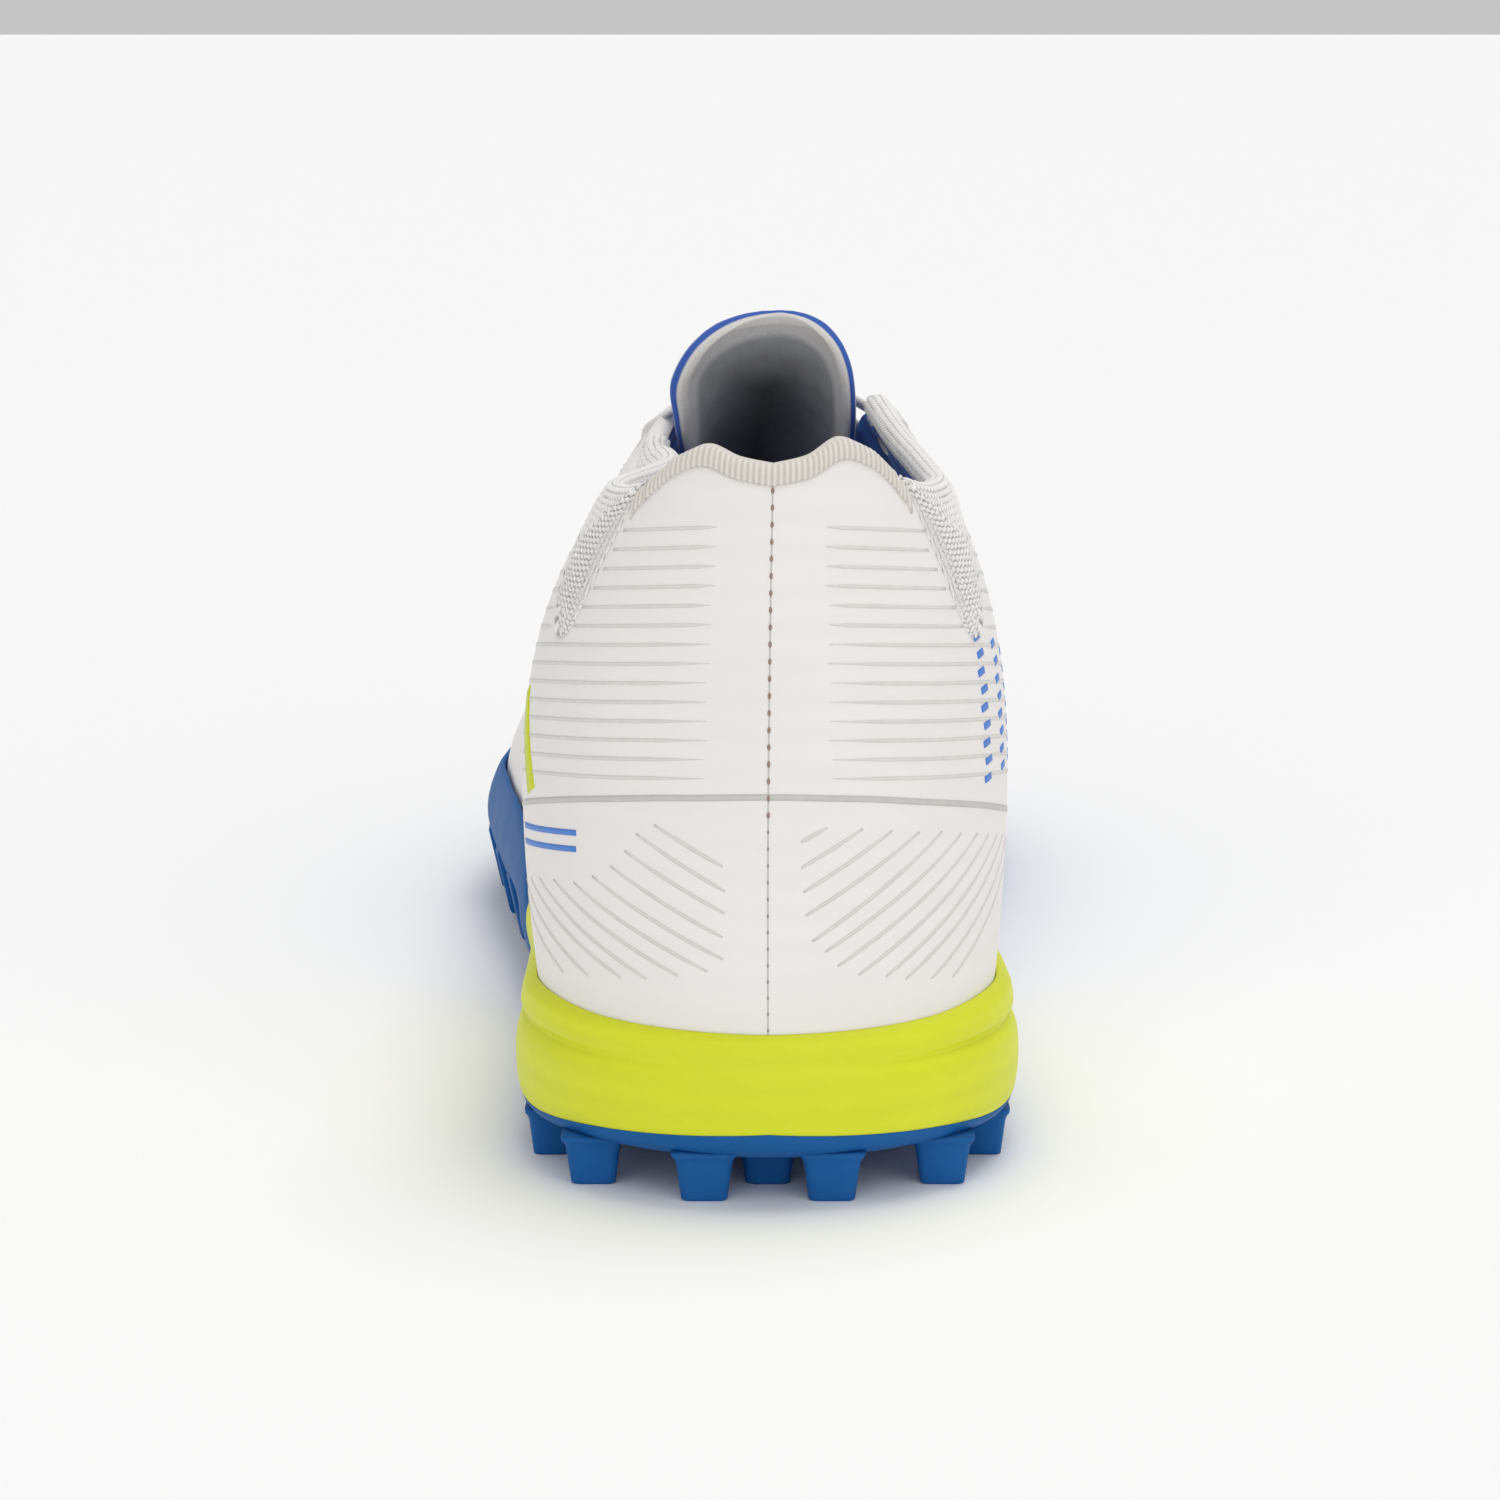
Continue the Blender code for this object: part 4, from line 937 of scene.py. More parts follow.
def white_material():
    """The upper's printed cloth: very fine level ribs, a faint cloud of warmer and cooler white."""
    made, tree, shader = base_material("upper_white", 0.52, 0.08, 0.35)
    where = place(tree)
    ribs = wave(tree, where, 62.0, "Z", 1.2, 3.0)
    grain = noise(tree, where, 1500.0, 3.0, 0.6)
    cloud = noise(tree, where, 45.0, 3.0)
    fine = math_node(tree, "MULTIPLY_ADD", ribs, 0.45, math_node(tree, "MULTIPLY", grain, 0.55))
    tone = mixed(tree, cloud, (0.860, 0.828, 0.812), (0.915, 0.888, 0.870))
    made_tone = mixed(tree, math_node(tree, "MULTIPLY", fine, 0.35), tone, (0.81, 0.783, 0.766))
    tree.links.new(made_tone, shader.inputs["Base Color"])
    bump(tree, shader, fine, 0.45, 0.00010)
    return made


def lining_material():
    """Blue lining with fine ribs running up the wall."""
    made, tree, shader = base_material("blue_lining", 0.85, 0.25, 0.2)
    where = uv_place(tree)
    ribs = wave(tree, where, 1 / 0.0011 / 20, "X", 0.3, 2.0)
    cross = wave(tree, where, 1 / 0.0007 / 20, "Y", 0.3, 2.0)
    both = math_node(tree, "MULTIPLY_ADD", ribs, 0.7, math_node(tree, "MULTIPLY", cross, 0.3))
    cloth = mixed(tree, both, (0.030, 0.125, 0.450), (0.095, 0.320, 0.900))
    tree.links.new(cloth, shader.inputs["Base Color"])
    bump(tree, shader, both, 0.7, 0.0002)
    return made


def foam_material():
    """Moulded lime foam with a very fine level texture."""
    made, tree, shader = base_material("lime_foam", 0.48, 0.0, 0.45)
    where = place(tree)
    lines = wave(tree, where, 78.0, "Z", 2.2, 4.0)
    grain = noise(tree, where, 2200.0, 3.0, 0.6)
    cloud = noise(tree, where, 60.0, 3.0)
    fine = math_node(tree, "MULTIPLY_ADD", lines, 0.5, math_node(tree, "MULTIPLY", grain, 0.5))
    tone = mixed(tree, cloud, (0.700, 0.745, 0.010), (0.775, 0.830, 0.014))
    tree.links.new(mixed(tree, math_node(tree, "MULTIPLY", fine, 0.3), tone, (0.55, 0.60, 0.008)),
                   shader.inputs["Base Color"])
    bump(tree, shader, fine, 0.4, 0.00008)
    return made


def rubber_material():
    """Blue moulded rubber, slightly grainy, paler where it is scuffed."""
    made, tree, shader = base_material("blue_rubber", 0.50, 0.0, 0.18)
    where = place(tree)
    grain = noise(tree, where, 2600.0, 3.0, 0.7)
    cloud = noise(tree, where, 110.0, 4.0)
    tone = mixed(tree, cloud, (0.004, 0.090, 0.305), (0.007, 0.115, 0.370))
    tree.links.new(mixed(tree, math_node(tree, "MULTIPLY", grain, 0.2), tone, (0.018, 0.15, 0.43)),
                   shader.inputs["Base Color"])
    rough = node(tree, "ShaderNodeMapRange", {"Value": cloud, "To Min": 0.42, "To Max": 0.60})
    tree.links.new(rough.outputs[0], shader.inputs["Roughness"])
    bump(tree, shader, grain, 0.5, 0.0001)
    return made


def knit_material():
    """Chain-knit yarn, with painted shade making it darker in the gaps between its loops."""
    made, tree, shader = base_material("collar_knit", 0.85, 0.3, 0.2)
    relief = number(tree, "relief")
    grain = noise(tree, place(tree), 2400.0, 3.0, 0.6)
    share = math_node(tree, "MULTIPLY_ADD", grain, 0.3, math_node(tree, "MULTIPLY", relief, 0.85))
    # Painted shade, with some random grain: the ramp's dark grey end colours the gaps between the loops.
    ramp = node(tree, "ShaderNodeValToRGB", {"Fac": share})
    ramp.color_ramp.elements[0].position = 0.12
    ramp.color_ramp.elements[0].color = (0.24, 0.235, 0.235, 1)
    ramp.color_ramp.elements[1].position = 0.62
    ramp.color_ramp.elements[1].color = (0.90, 0.88, 0.855, 1)
    tree.links.new(ramp.outputs[0], shader.inputs["Base Color"])
    bump(tree, shader, share, 0.5, 0.0002)
    return made


def binding_material():
    """Cream ribbed tape, with painted shade making it darker between its ribs."""
    made, tree, shader = base_material("heel_tape", 0.85, 0.25, 0.2)
    relief = number(tree, "relief")
    grain = noise(tree, place(tree), 1800.0, 3.0, 0.6)
    share = math_node(tree, "MULTIPLY_ADD", grain, 0.35, math_node(tree, "MULTIPLY", relief, 0.75))
    # Painted shade, with some random grain: the darker cream colours the hollows between the ribs.
    tree.links.new(mixed(tree, share, (0.54, 0.505, 0.455), (0.82, 0.785, 0.73)), shader.inputs["Base Color"])
    bump(tree, shader, grain, 0.4, 0.0001)
    return made


def tongue_material():
    """Brushed cloth, grey towards a cream band with a blue line at the very edge; painted shade of the curl
    blackens its middle.
    """
    made, tree, shader = base_material("tongue_inside", 0.9, 0.3, 0.2)
    border = number(tree, "border")
    cloud = noise(tree, place(tree), 260.0, 5.0, 0.6)
    grain = noise(tree, place(tree), 2600.0, 2.0)
    grey = mixed(tree, cloud, (0.30, 0.30, 0.305), (0.52, 0.52, 0.52))
    cream = mixed(tree, grain, (0.62, 0.60, 0.565), (0.80, 0.78, 0.74))
    band = node(tree, "ShaderNodeMapRange", {"Value": border, "From Min": 0.0038, "From Max": 0.0052})
    # Painted shade: away from the edge the cloth turns near black, standing in for the shade inside the
    # tongue's curl.
    depth = node(tree, "ShaderNodeMapRange", {"Value": border, "From Min": 0.0050, "From Max": 0.0170})
    painted_curl_shade = mixed(tree, cloud, (0.045, 0.046, 0.050), (0.085, 0.086, 0.090))
    inside = mixed(tree, band.outputs[0], cream, mixed(tree, depth.outputs[0], grey, painted_curl_shade))
    edge = node(tree, "ShaderNodeMapRange", {"Value": border, "From Min": 0.0003, "From Max": 0.0005})
    tree.links.new(mixed(tree, edge.outputs[0], (0.05, 0.12, 0.45), inside), shader.inputs["Base Color"])
    bump(tree, shader, grain, 0.5, 0.00015)
    return made


WHITE = white_material()
LINING = lining_material()
FOAM = foam_material()
RUBBER = rubber_material()
KNIT = knit_material()
TAPE = binding_material()
TONGUE_IN = tongue_material()
TONGUE_OUT = cloth_material("tongue_blue", (0.035, 0.150, 0.500), (0.016, 0.080, 0.300), 0.0009)
INSOLE_TOP = cloth_material("insole_cloth", (0.030, 0.090, 0.300), (0.014, 0.045, 0.160), 0.0010)
LACE = cloth_material("lace_cloth", (0.84, 0.83, 0.81), (0.60, 0.59, 0.575), 0.0011, depth=0.0002)
GREY_PRINT = print_material("grey_print", (0.64, 0.635, 0.605))
LINE_PRINT = print_material("line_print", (0.800, 0.776, 0.738))
BLUE_PRINT = print_material("blue_print", (0.085, 0.250, 0.720))
LIME_PRINT = print_material("lime_print", (0.690, 0.780, 0.030))
THREAD = print_material("brown_thread", (0.34, 0.26, 0.22), 0.8)
WHITE_THREAD = print_material("white_thread", (0.74, 0.73, 0.71), 0.8)
LABEL = print_material("label", (0.085, 0.087, 0.092), 0.7)


# Upper

UPPER_ROWS_LOW = 46
BAND_ROWS = 12
DENSE_STEP = 0.0045
SEAM_STEP = 0.0013
SEAM_FROM = 0.084
SEAM_TO = 0.162

# The raised eyestay. Stations past the throat's start or end; edge in metres; narrow: share of the rib
EYESTAY_BEGIN = 0.012
EYESTAY_RAMP = 0.008
EYESTAY_NOSE = 0.035
EYESTAY_END_RAMP = 0.006
EYESTAY_NARROW = 0.10
EYESTAY_EDGE = 0.0007
PADDING_END = 0.30


def band_and_lift(s):
    """Share of the rib that the eyestay takes, and how far it stands out there."""
    u = abs(s)
    top = rib(s).top
    front = THROAT_END + EYESTAY_NOSE
    if u > front:
        return EYESTAY_NARROW, 0.0
    band = EYESTAY_WIDTH / top
    if u > THROAT_END:
        band = max(EYESTAY_NARROW, band * math.sqrt(1 - ((u - THROAT_END) / EYESTAY_NOSE) ** 2))
    raised = np.clip((u - THROAT_START - EYESTAY_BEGIN) / EYESTAY_RAMP, 0, 1)
    raised *= np.clip((front - u) / EYESTAY_END_RAMP, 0, 1)
    if u < THROAT_START:
        band = EYESTAY_WIDTH / rib(side_of(s) * THROAT_START).top
    return band, EYESTAY_STEP * float(raised)


def upper_grids(stations):
    outer, inner, uv = [], [], []
    around = 0.0
    last = None
    low = np.linspace(0, 1, UPPER_ROWS_LOW)
    for s in stations:
        top = upper_top(s)
        band, lift = band_and_lift(s)
        edge = EYESTAY_EDGE / top
        start = 1 - band - edge
        shares = np.r_[low * start, start + edge * np.array([0.35, 0.7, 1.0])]
        lifts = np.r_[np.zeros(UPPER_ROWS_LOW), lift * np.array([0.55, 0.92, 1.0])]
        shares = np.r_[shares, 1 - band + band * np.linspace(0, 1, BAND_ROWS)[1:]]
        lifts = np.r_[lifts, np.full(BAND_ROWS - 1, lift)]
        lifts[-1] *= 0.7
        padded = max(0, 1 - abs(s) / PADDING_END)
        outer.append([])
        inner.append([])
        foot = skin(s, 0.3 * top)
        if last is not None:
            around += float(np.linalg.norm(foot - last))
        last = foot
        for share, rise in zip(shares, lifts):
            length = share * top
            thick = UPPER_WALL + (COLLAR_WALL - UPPER_WALL) * padded * share ** 3
            outer[-1].append(wall(s, length, rise))
            inner[-1].append(wall(s, length, -thick))
            uv.append((around, length))
    return np.array(outer), np.array(inner), np.array(uv)


def eyelet_stations():
    return np.linspace(THROAT_START + 0.066, THROAT_END - 0.040, EYELET_PAIRS)


def eyelet_frame(s):
    """Centre of an eyelet on the outer face, its axis and two directions across it."""
    length = rib(s).top - EYELET_INSET
    axis = outward(s, length)
    across = np.cross(axis, (0, 1, 0))
    across /= np.linalg.norm(across)
    return skin(s, length), axis, across, np.cross(axis, across)


def cylinder(centre, axis, across, other, radius, low, high, sides=24):
    turn = np.arange(sides) * 2 * math.pi / sides
    loop = radius * (np.cos(turn)[:, None] * across + np.sin(turn)[:, None] * other)
    points = np.concatenate([centre + loop + axis * low, centre + loop + axis * high])
    faces = [tuple(range(sides)), tuple(range(sides, 2 * sides))]
    faces += [(k, (k + 1) % sides, (k + 1) % sides + sides, k + sides) for k in range(sides)]
    return points, faces


def make_upper():
    seam = [round(float(u), 6) for u in np.arange(SEAM_FROM, SEAM_TO, SEAM_STEP)]
    stations = sorted(set(dense(UPPER_STATIONS, DENSE_STEP)) | set(seam))
    around = ring(stations)
    outer, inner, uv = upper_grids(around)
    count, rows = outer.shape[:2]
    index = {round(s, 6): i for i, s in enumerate(around)}
    pairs = [(index[round(-u, 6)], index[round(u, 6)]) for u in stations if THROAT_END <= u < 1]
    for lateral, medial in pairs:
        for side in (outer, inner):
            side[lateral, -1] = side[medial, -1] = (side[lateral, -1] + side[medial, -1]) / 2
    points, faces = shell(outer, inner, True)
    strip = faces[3]
    on_ridge = {i for pair in pairs for i in pair} | {0}
    keep = [not ((face[0] // rows) in on_ridge and (face[1] // rows) in on_ridge) for face in strip]
    faces[3] = strip[np.array(keep)]
    slots = np.concatenate([np.full(len(f), k) for f, k in zip(faces, (0, 1, 1, 0))])
    made = piece(
        "upper_shell", points, np.concatenate(faces), [WHITE, LINING], slots,
        uv=np.concatenate([uv, uv]), node="upper", slot="white_textile",
    )
    holes = [cylinder(*eyelet_frame(side * u), EYELET_RADIUS, -0.006, 0.004)
             for side in (-1, 1) for u in eyelet_stations()]
    cut(made, *merge(holes))
    return made


def cut(target, points, faces):
    mesh = bpy.data.meshes.new("cutter")
    mesh.from_pydata((points + SHIFT).tolist(), [], faces)
    work = bmesh.new()
    work.from_mesh(mesh)
    bmesh.ops.recalc_face_normals(work, faces=work.faces)
    work.to_mesh(mesh)
    work.free()
    tool = bpy.data.objects.new("cutter", mesh)
    bpy.context.scene.collection.objects.link(tool)
    change = target.modifiers.new("holes", "BOOLEAN")
    change.operation = "DIFFERENCE"
    change.solver = "EXACT"
    change.object = tool
    bpy.context.view_layer.update()
    graph = bpy.context.evaluated_depsgraph_get()
    made = bpy.data.meshes.new_from_object(target.evaluated_get(graph))
    target.modifiers.clear()
    target.data = made
    bpy.data.objects.remove(tool)


# Prints and stitches on the upper

def length_at(s, height):
    """Length up the rib where it reaches a height."""
    here = rib(s)
    top = int(np.argmax(here.points[:, 2]))
    return float(np.interp(height, here.points[:top + 1, 2], here.length[:top + 1]))


def along_face(places, lift):
    """Points and normals over the outer face at (station, length) places."""
    points = np.array([wall(s, length, lift) for s, length in places])
    normals = np.array([outward(wrap(s), length) for s, length in places])
    return points, normals


def ribbon(places, width, lift=0.00008, thick=0.00006, taper=(1.0, 1.0)):
    """A thin flat strip laid on the outer face along (station, length) places, ending at taper shares."""
    points, normals = along_face(places, lift)
    along = np.gradient(points, axis=0)
    side = np.cross(normals, along)
    side /= np.linalg.norm(side, axis=1)[:, None]
    share = np.linspace(0, 1, len(points))
    widths = np.interp(share, (0, 0.12, 0.6, 1), (taper[0], 1, 1, taper[1])) * width / 2
    left, right = points - side * widths[:, None], points + side * widths[:, None]
    rise = normals * thick
    rows = np.stack([left - rise * 3, left, right, right - rise * 3], 1)
    count = len(points)
    faces = []
    for k in range(count - 1):
        for i in range(4):
            a, b = 4 * k + i, 4 * k + (i + 1) % 4
            faces.append((a, b, b + 4, a + 4))
    faces += [(3, 2, 1, 0), tuple(range(4 * count - 4, 4 * count))]
    return rows.reshape(-1, 3), faces


def line_places(start, end, count):
    """Places between two (station, height) ends, straight in both."""
    found = []
    for t in np.linspace(0, 1, count):
        s = start[0] + (end[0] - start[0]) * t
        height = start[1] + (end[1] - start[1]) * t
        found.append((round(s, 6), length_at(round(s, 6), height)))
    return found


def curve_places(rows, count):
    """Places along a smooth line through (station, height) rows."""
    rows = np.array(rows, float)
    heights = smooth(rows[:, 0], rows[:, 1])
    return [(round(float(s), 6), length_at(round(float(s), 6), float(heights(s))))
            for s in np.linspace(rows[0, 0], rows[-1, 0], count)]


def bean(centre, along, normal, length, radius, flat=0.7):
    """A small rounded stitch lying on the face."""
    side = np.cross(normal, along)
    points, faces = [], []
    rings, sides = 5, 6
    for k in range(rings):
        t = -1 + 2 * k / (rings - 1)
        girth = radius * math.sqrt(max(0.04, 1 - t * t))
        for i in range(sides):
            a = 2 * math.pi * i / sides
            points.append(centre + along * t * length / 2 + side * math.cos(a) * girth
                          + normal * math.sin(a) * girth * flat)
    for k in range(rings - 1):
        for i in range(sides):
            a, b = k * sides + i, k * sides + (i + 1) % sides
            faces.append((a, b, b + sides, a + sides))
    faces += [tuple(range(sides)), tuple(range((rings - 1) * sides, rings * sides))]
    return points, faces


def unit(v):
    return v / np.linalg.norm(v)


# The heel's printed level lines. height: in metres at the line's inner end; they drop towards the sides
LEVEL_LINES = 14
LEVEL_TOP = 0.0975
LEVEL_PITCH = 0.00268
LEVEL_DROP = 0.30
LEVEL_INNER = 0.030
LEVEL_OUTER = 0.235
COUNTER_LINE = (
    (-0.26, 0.0470), (-0.171, 0.0523), (-0.133, 0.0550), (-0.084, 0.0578), (-0.041, 0.0593), (0.000, 0.0599),
    (0.038, 0.0593), (0.081, 0.0575), (0.117, 0.0554), (0.149, 0.0531), (0.24, 0.0470),
)
# The lower heel's slanted lines: inner and outer ends as (station, height)
LEFT_SLANTS = (
    ((-0.0200, 0.0499), (-0.0530, 0.0552)), ((-0.0190, 0.0464), (-0.0620, 0.0536)),
    ((-0.0190, 0.0432), (-0.0680, 0.0509)), ((-0.0200, 0.0397), (-0.0760, 0.0484)),
    ((-0.0200, 0.0365), (-0.0870, 0.0464)), ((-0.0270, 0.0346), (-0.1000, 0.0448)),
    ((-0.0410, 0.0336), (-0.1170, 0.0442)), ((-0.0570, 0.0326), (-0.1330, 0.0434)),
    ((-0.0710, 0.0322), (-0.1480, 0.0425)), ((-0.0920, 0.0313), (-0.1640, 0.0412)),
    ((-0.1130, 0.0305), (-0.1800, 0.0400)),
)
RIGHT_SLANTS = (
    ((0.0150, 0.0535), (0.0270, 0.0554)), ((0.0150, 0.0498), (0.0440, 0.0549)),
    ((0.0160, 0.0463), (0.0590, 0.0542)), ((0.0170, 0.0429), (0.0740, 0.0535)),
    ((0.0200, 0.0391), (0.0880, 0.0530)), ((0.0260, 0.0375), (0.1020, 0.0521)),
    ((0.0320, 0.0353), (0.1160, 0.0513)), ((0.0420, 0.0337), (0.1280, 0.0504)),
    ((0.0560, 0.0330), (0.1400, 0.0496)), ((0.0670, 0.0322), (0.1520, 0.0488)),
    ((0.0830, 0.0315), (0.1640, 0.0478)), ((0.0980, 0.0308), (0.1760, 0.0468)),
)


LEVEL_WIDTH = 0.00055
LEVEL_TAPER = (0.12, 0.8)
SLANT_WIDTH = 0.00056
COUNTER_WIDTH = 0.0009
PRINT_LIFT = 0.0001

# Blue dashes on the medial quarter. Columns: station and height of the top dash
DASH_COLUMNS = ((0.124, 0.0795), (0.146, 0.0785), (0.168, 0.0775))
DASHES = 9
DASH_PITCH = 0.00258
DASH_SHIFT = 0.0015
DASH_LENGTH = 0.0075
DASH_SLANT = 0.0002
DASH_WIDTH = 0.0011

# Bars on the lateral quarter, as (station, height) or heights
LIME_BAR = ((-0.1420, 0.0560), (-0.1640, 0.0700))
LIME_BAR_WIDTH = 0.0034
BLUE_BARS = (0.0522, 0.0498)
BLUE_BAR_BACK = -0.0980
BLUE_BAR_FRONT = -0.1560
BLUE_BAR_DROP = 0.0022
BLUE_BAR_WIDTH = 0.00085


def make_prints():
    lines = []
    for k in range(LEVEL_LINES):
        height = LEVEL_TOP - k * LEVEL_PITCH
        for side in (-1, 1):
            inner = LEVEL_INNER - 0.0005 * (k % 4)
            outer = LEVEL_OUTER
            start = next((u for u in np.arange(inner, outer, 0.004)
                          if length_at(side * round(float(u), 6), height - LEVEL_DROP * 0.06 * (u - inner))
                          < seam_length(side * round(float(u), 6)) - 0.0024), None)
            if start is None:
                continue
            rows = []
            for u in np.linspace(inner, outer, 44):
                s = side * round(float(u), 6)
                z = height - 0.0012 * (u / 0.1) ** 2 - 0.0010 * (u / 0.1)
                length = length_at(s, z)
                if length > min(seam_length(s), upper_top(s)) - 0.0006:
                    if len(rows) > 6:
                        lines.append(ribbon(rows, LEVEL_WIDTH, taper=LEVEL_TAPER))
                    rows = []
                    continue
                rows.append((s, length))
            if len(rows) > 6:
                lines.append(ribbon(rows, LEVEL_WIDTH, taper=LEVEL_TAPER))
    for inner, outer in LEFT_SLANTS + RIGHT_SLANTS:
        lines.append(ribbon(line_places(inner, outer, 14), SLANT_WIDTH, taper=(0.5, 0.5)))
    piece("printed_lines", *merge(lines), [LINE_PRINT], slot="white_textile")
    counter = curve_places(COUNTER_LINE, 90)
    piece("counter_line", *ribbon(counter, COUNTER_WIDTH, PRINT_LIFT), [GREY_PRINT], slot="white_textile")

    dashes = []
    for column, (station, first) in enumerate(DASH_COLUMNS):
        for k in range(DASHES - column):
            z = first - DASH_PITCH * k - 0.0010 * column
            s = station + DASH_SHIFT * (k % 2)
            places = line_places((s, z - DASH_SLANT), (s + DASH_LENGTH, z + DASH_SLANT), 5)
            dashes.append(ribbon(places, DASH_WIDTH, taper=(0.9, 0.9)))
    piece("blue_dashes", *merge(dashes), [BLUE_PRINT], slot="white_textile")

    bar = ribbon(line_places(*LIME_BAR, 16), LIME_BAR_WIDTH, PRINT_LIFT)
    piece("lime_bar", *bar, [LIME_PRINT], slot="white_textile")
    bars = []
    for z in BLUE_BARS:
        places = line_places((BLUE_BAR_BACK, z), (BLUE_BAR_FRONT, z - BLUE_BAR_DROP), 14)
        bars.append(ribbon(places, BLUE_BAR_WIDTH, PRINT_LIFT))
    piece("blue_bars", *merge(bars), [BLUE_PRINT], slot="white_textile")


def make_stitches():
    seam = []
    top = upper_top(0.0)
    for length in np.arange(0.0035, top - 0.0008, 0.0024):
        centre, normal = wall(0.0, length, 0.00005), outward(0.0, length)
        up = unit(skin(0.0, length + 0.001) - skin(0.0, length - 0.001))
        size = 0.00024 if length > 0.036 else 0.00014
        seam.append(bean(centre, up, normal, size * 4.2, size))
    piece("back_seam_stitches", *merge(seam), [THREAD], slot="beige_binding")
    places = [(0.0, length) for length in np.linspace(0.0025, top - 0.0003, 60)]
    piece("back_seam_line", *ribbon(places, 0.00022, 0.00005), [GREY_PRINT], slot="white_textile")

    white = []
    for side in (-1, 1):
        for inset in (0.0022, EYESTAY_WIDTH - 0.0016):
            stations = np.linspace(THROAT_START + 0.024, THROAT_END, 90)
            walk = [(side * u, rib(side * u).top - inset) for u in stations]
            path = np.array([wall(s, length, EYESTAY_STEP) for s, length in walk])
            run = np.r_[0, np.cumsum(np.linalg.norm(np.diff(path, axis=0), axis=1))]
            for at in np.arange(0.001, run[-1] - 0.0012, 0.0026):
                k = np.searchsorted(run, at)
                along = unit(path[min(k + 1, len(path) - 1)] - path[k - 1])
                centre = np.array([np.interp(at, run, path[:, i]) for i in range(3)])
                white.append(bean(centre, along, outward(*walk[min(k, len(walk) - 1)]), 0.0017, 0.00026))
    piece("eyestay_stitches", *merge(white), [WHITE_THREAD], slot="white_textile")


# Heel tape and knit collar

def make_binding():
    stations = np.linspace(-BINDING_END, BINDING_END, 420)
    outer, inner, relief = [], [], []
    run = 0.0
    last = None
    for s in stations:
        s = round(float(s), 6)
        top = seam_length(s)
        height = binding_height(s) + 2 * GAP
        edge = skin(s, top)
        if last is not None:
            run += float(np.linalg.norm(edge - last))
        last = edge
        rib_share = 0.5 + 0.5 * math.cos(2 * math.pi * run / 0.00085)
        outer.append([])
        inner.append([])
        for t in np.linspace(0, 1, 9):
            length = top - height * (1 - t)
            proud = BINDING_PROUD * (math.sin(math.pi * min(1, 0.10 + t * 0.9)) ** 0.6 + 0.25 * rib_share)
            outer[-1].append(wall(s, length, proud))
            relief.append(rib_share)
        for t in np.linspace(0, 1, 9):
            length = top - height * (1 - t)
            proud = BINDING_PROUD * (math.sin(math.pi * min(1, 0.10 + t * 0.9)) ** 0.6 + 0.25 * rib_share)
            inner[-1].append(wall(s, length, -COLLAR_WALL - proud))
    outer, inner = np.array(outer), np.array(inner)
    crown = (outer[:, -1] + inner[:, -1]) / 2
    lifted = []
    for k, s in enumerate(stations):
        s = round(float(s), 6)
        up = unit(skin(s, seam_length(s)) - skin(s, seam_length(s) - 0.001))
        lifted.append(crown[k] + up * 0.0008)
    points, faces = band_over(outer, inner, np.array(lifted))
    relief = np.r_[relief, relief, np.full(len(lifted) * 3, 0.6)]
    piece("heel_tape", points, faces, [TAPE], values={"relief": relief},
          node="heel_binding", slot="beige_binding")


def band_over(outer, inner, crown):
    """A closed wall whose top edge is rounded over a crown line."""
    columns, rows = outer.shape[:2]
    shoulders = [0.62 * crown + 0.38 * outer[:, -1], crown, 0.62 * crown + 0.38 * inner[:, -1]]
    over = np.stack(shoulders, 1)
    points = np.concatenate([outer.reshape(-1, 3), inner.reshape(-1, 3), over.reshape(-1, 3)])
    half, tops = columns * rows, 2 * columns * rows
    faces = [tuple(f) for f in grid(columns, rows, False)]
    faces += [tuple(f) for f in grid(columns, rows, False, half, True)]
    for i in range(columns - 1):
        for a, b in (
            ((i + 1) * rows - 1, tops + 3 * i), (tops + 3 * i, tops + 3 * i + 1),
            (tops + 3 * i + 1, tops + 3 * i + 2), (tops + 3 * i + 2, half + (i + 1) * rows - 1),
        ):
            step_a = 3 if a >= tops else rows
            step_b = 3 if b >= tops else rows
            faces.append((a, a + step_a, b + step_b, b))
        faces.append((i * rows, (i + 1) * rows, half + (i + 1) * rows, half + i * rows))
    for i in (0, columns - 1):
        for j in range(rows - 1):
            a = i * rows + j
            faces.append((a, a + 1, a + 1 + half, a + half))
        o, n, t = (i + 1) * rows - 1, half + (i + 1) * rows - 1, tops + 3 * i
        faces.append((o, t, t + 1, t + 2, n))
    return points, faces


KNIT_PITCH = 0.00100
KNIT_ROW = 0.00090
KNIT_RELIEF = 0.00040
KNIT_COLUMNS = 300
KNIT_OUT_ROWS = 70
KNIT_OVER_ROWS = 26
KNIT_IN_ROWS = 12
KNIT_ROLL = 0.0017


def knit_height(across, along):
    """Relief of chain knitting, from 0 in the gaps to 1 on the loops."""
    column = across / KNIT_PITCH
    local = column - np.round(column)
    odd = np.round(column) % 2
    phase = along / KNIT_ROW + 0.5 * odd + 0.55 * np.abs(local)
    loop = 0.5 + 0.5 * np.cos(2 * math.pi * phase)
    ridge_line = np.clip(1 - (2 * np.abs(local)) ** 4, 0, 1)
    return loop ** 0.8 * (0.35 + 0.65 * ridge_line)


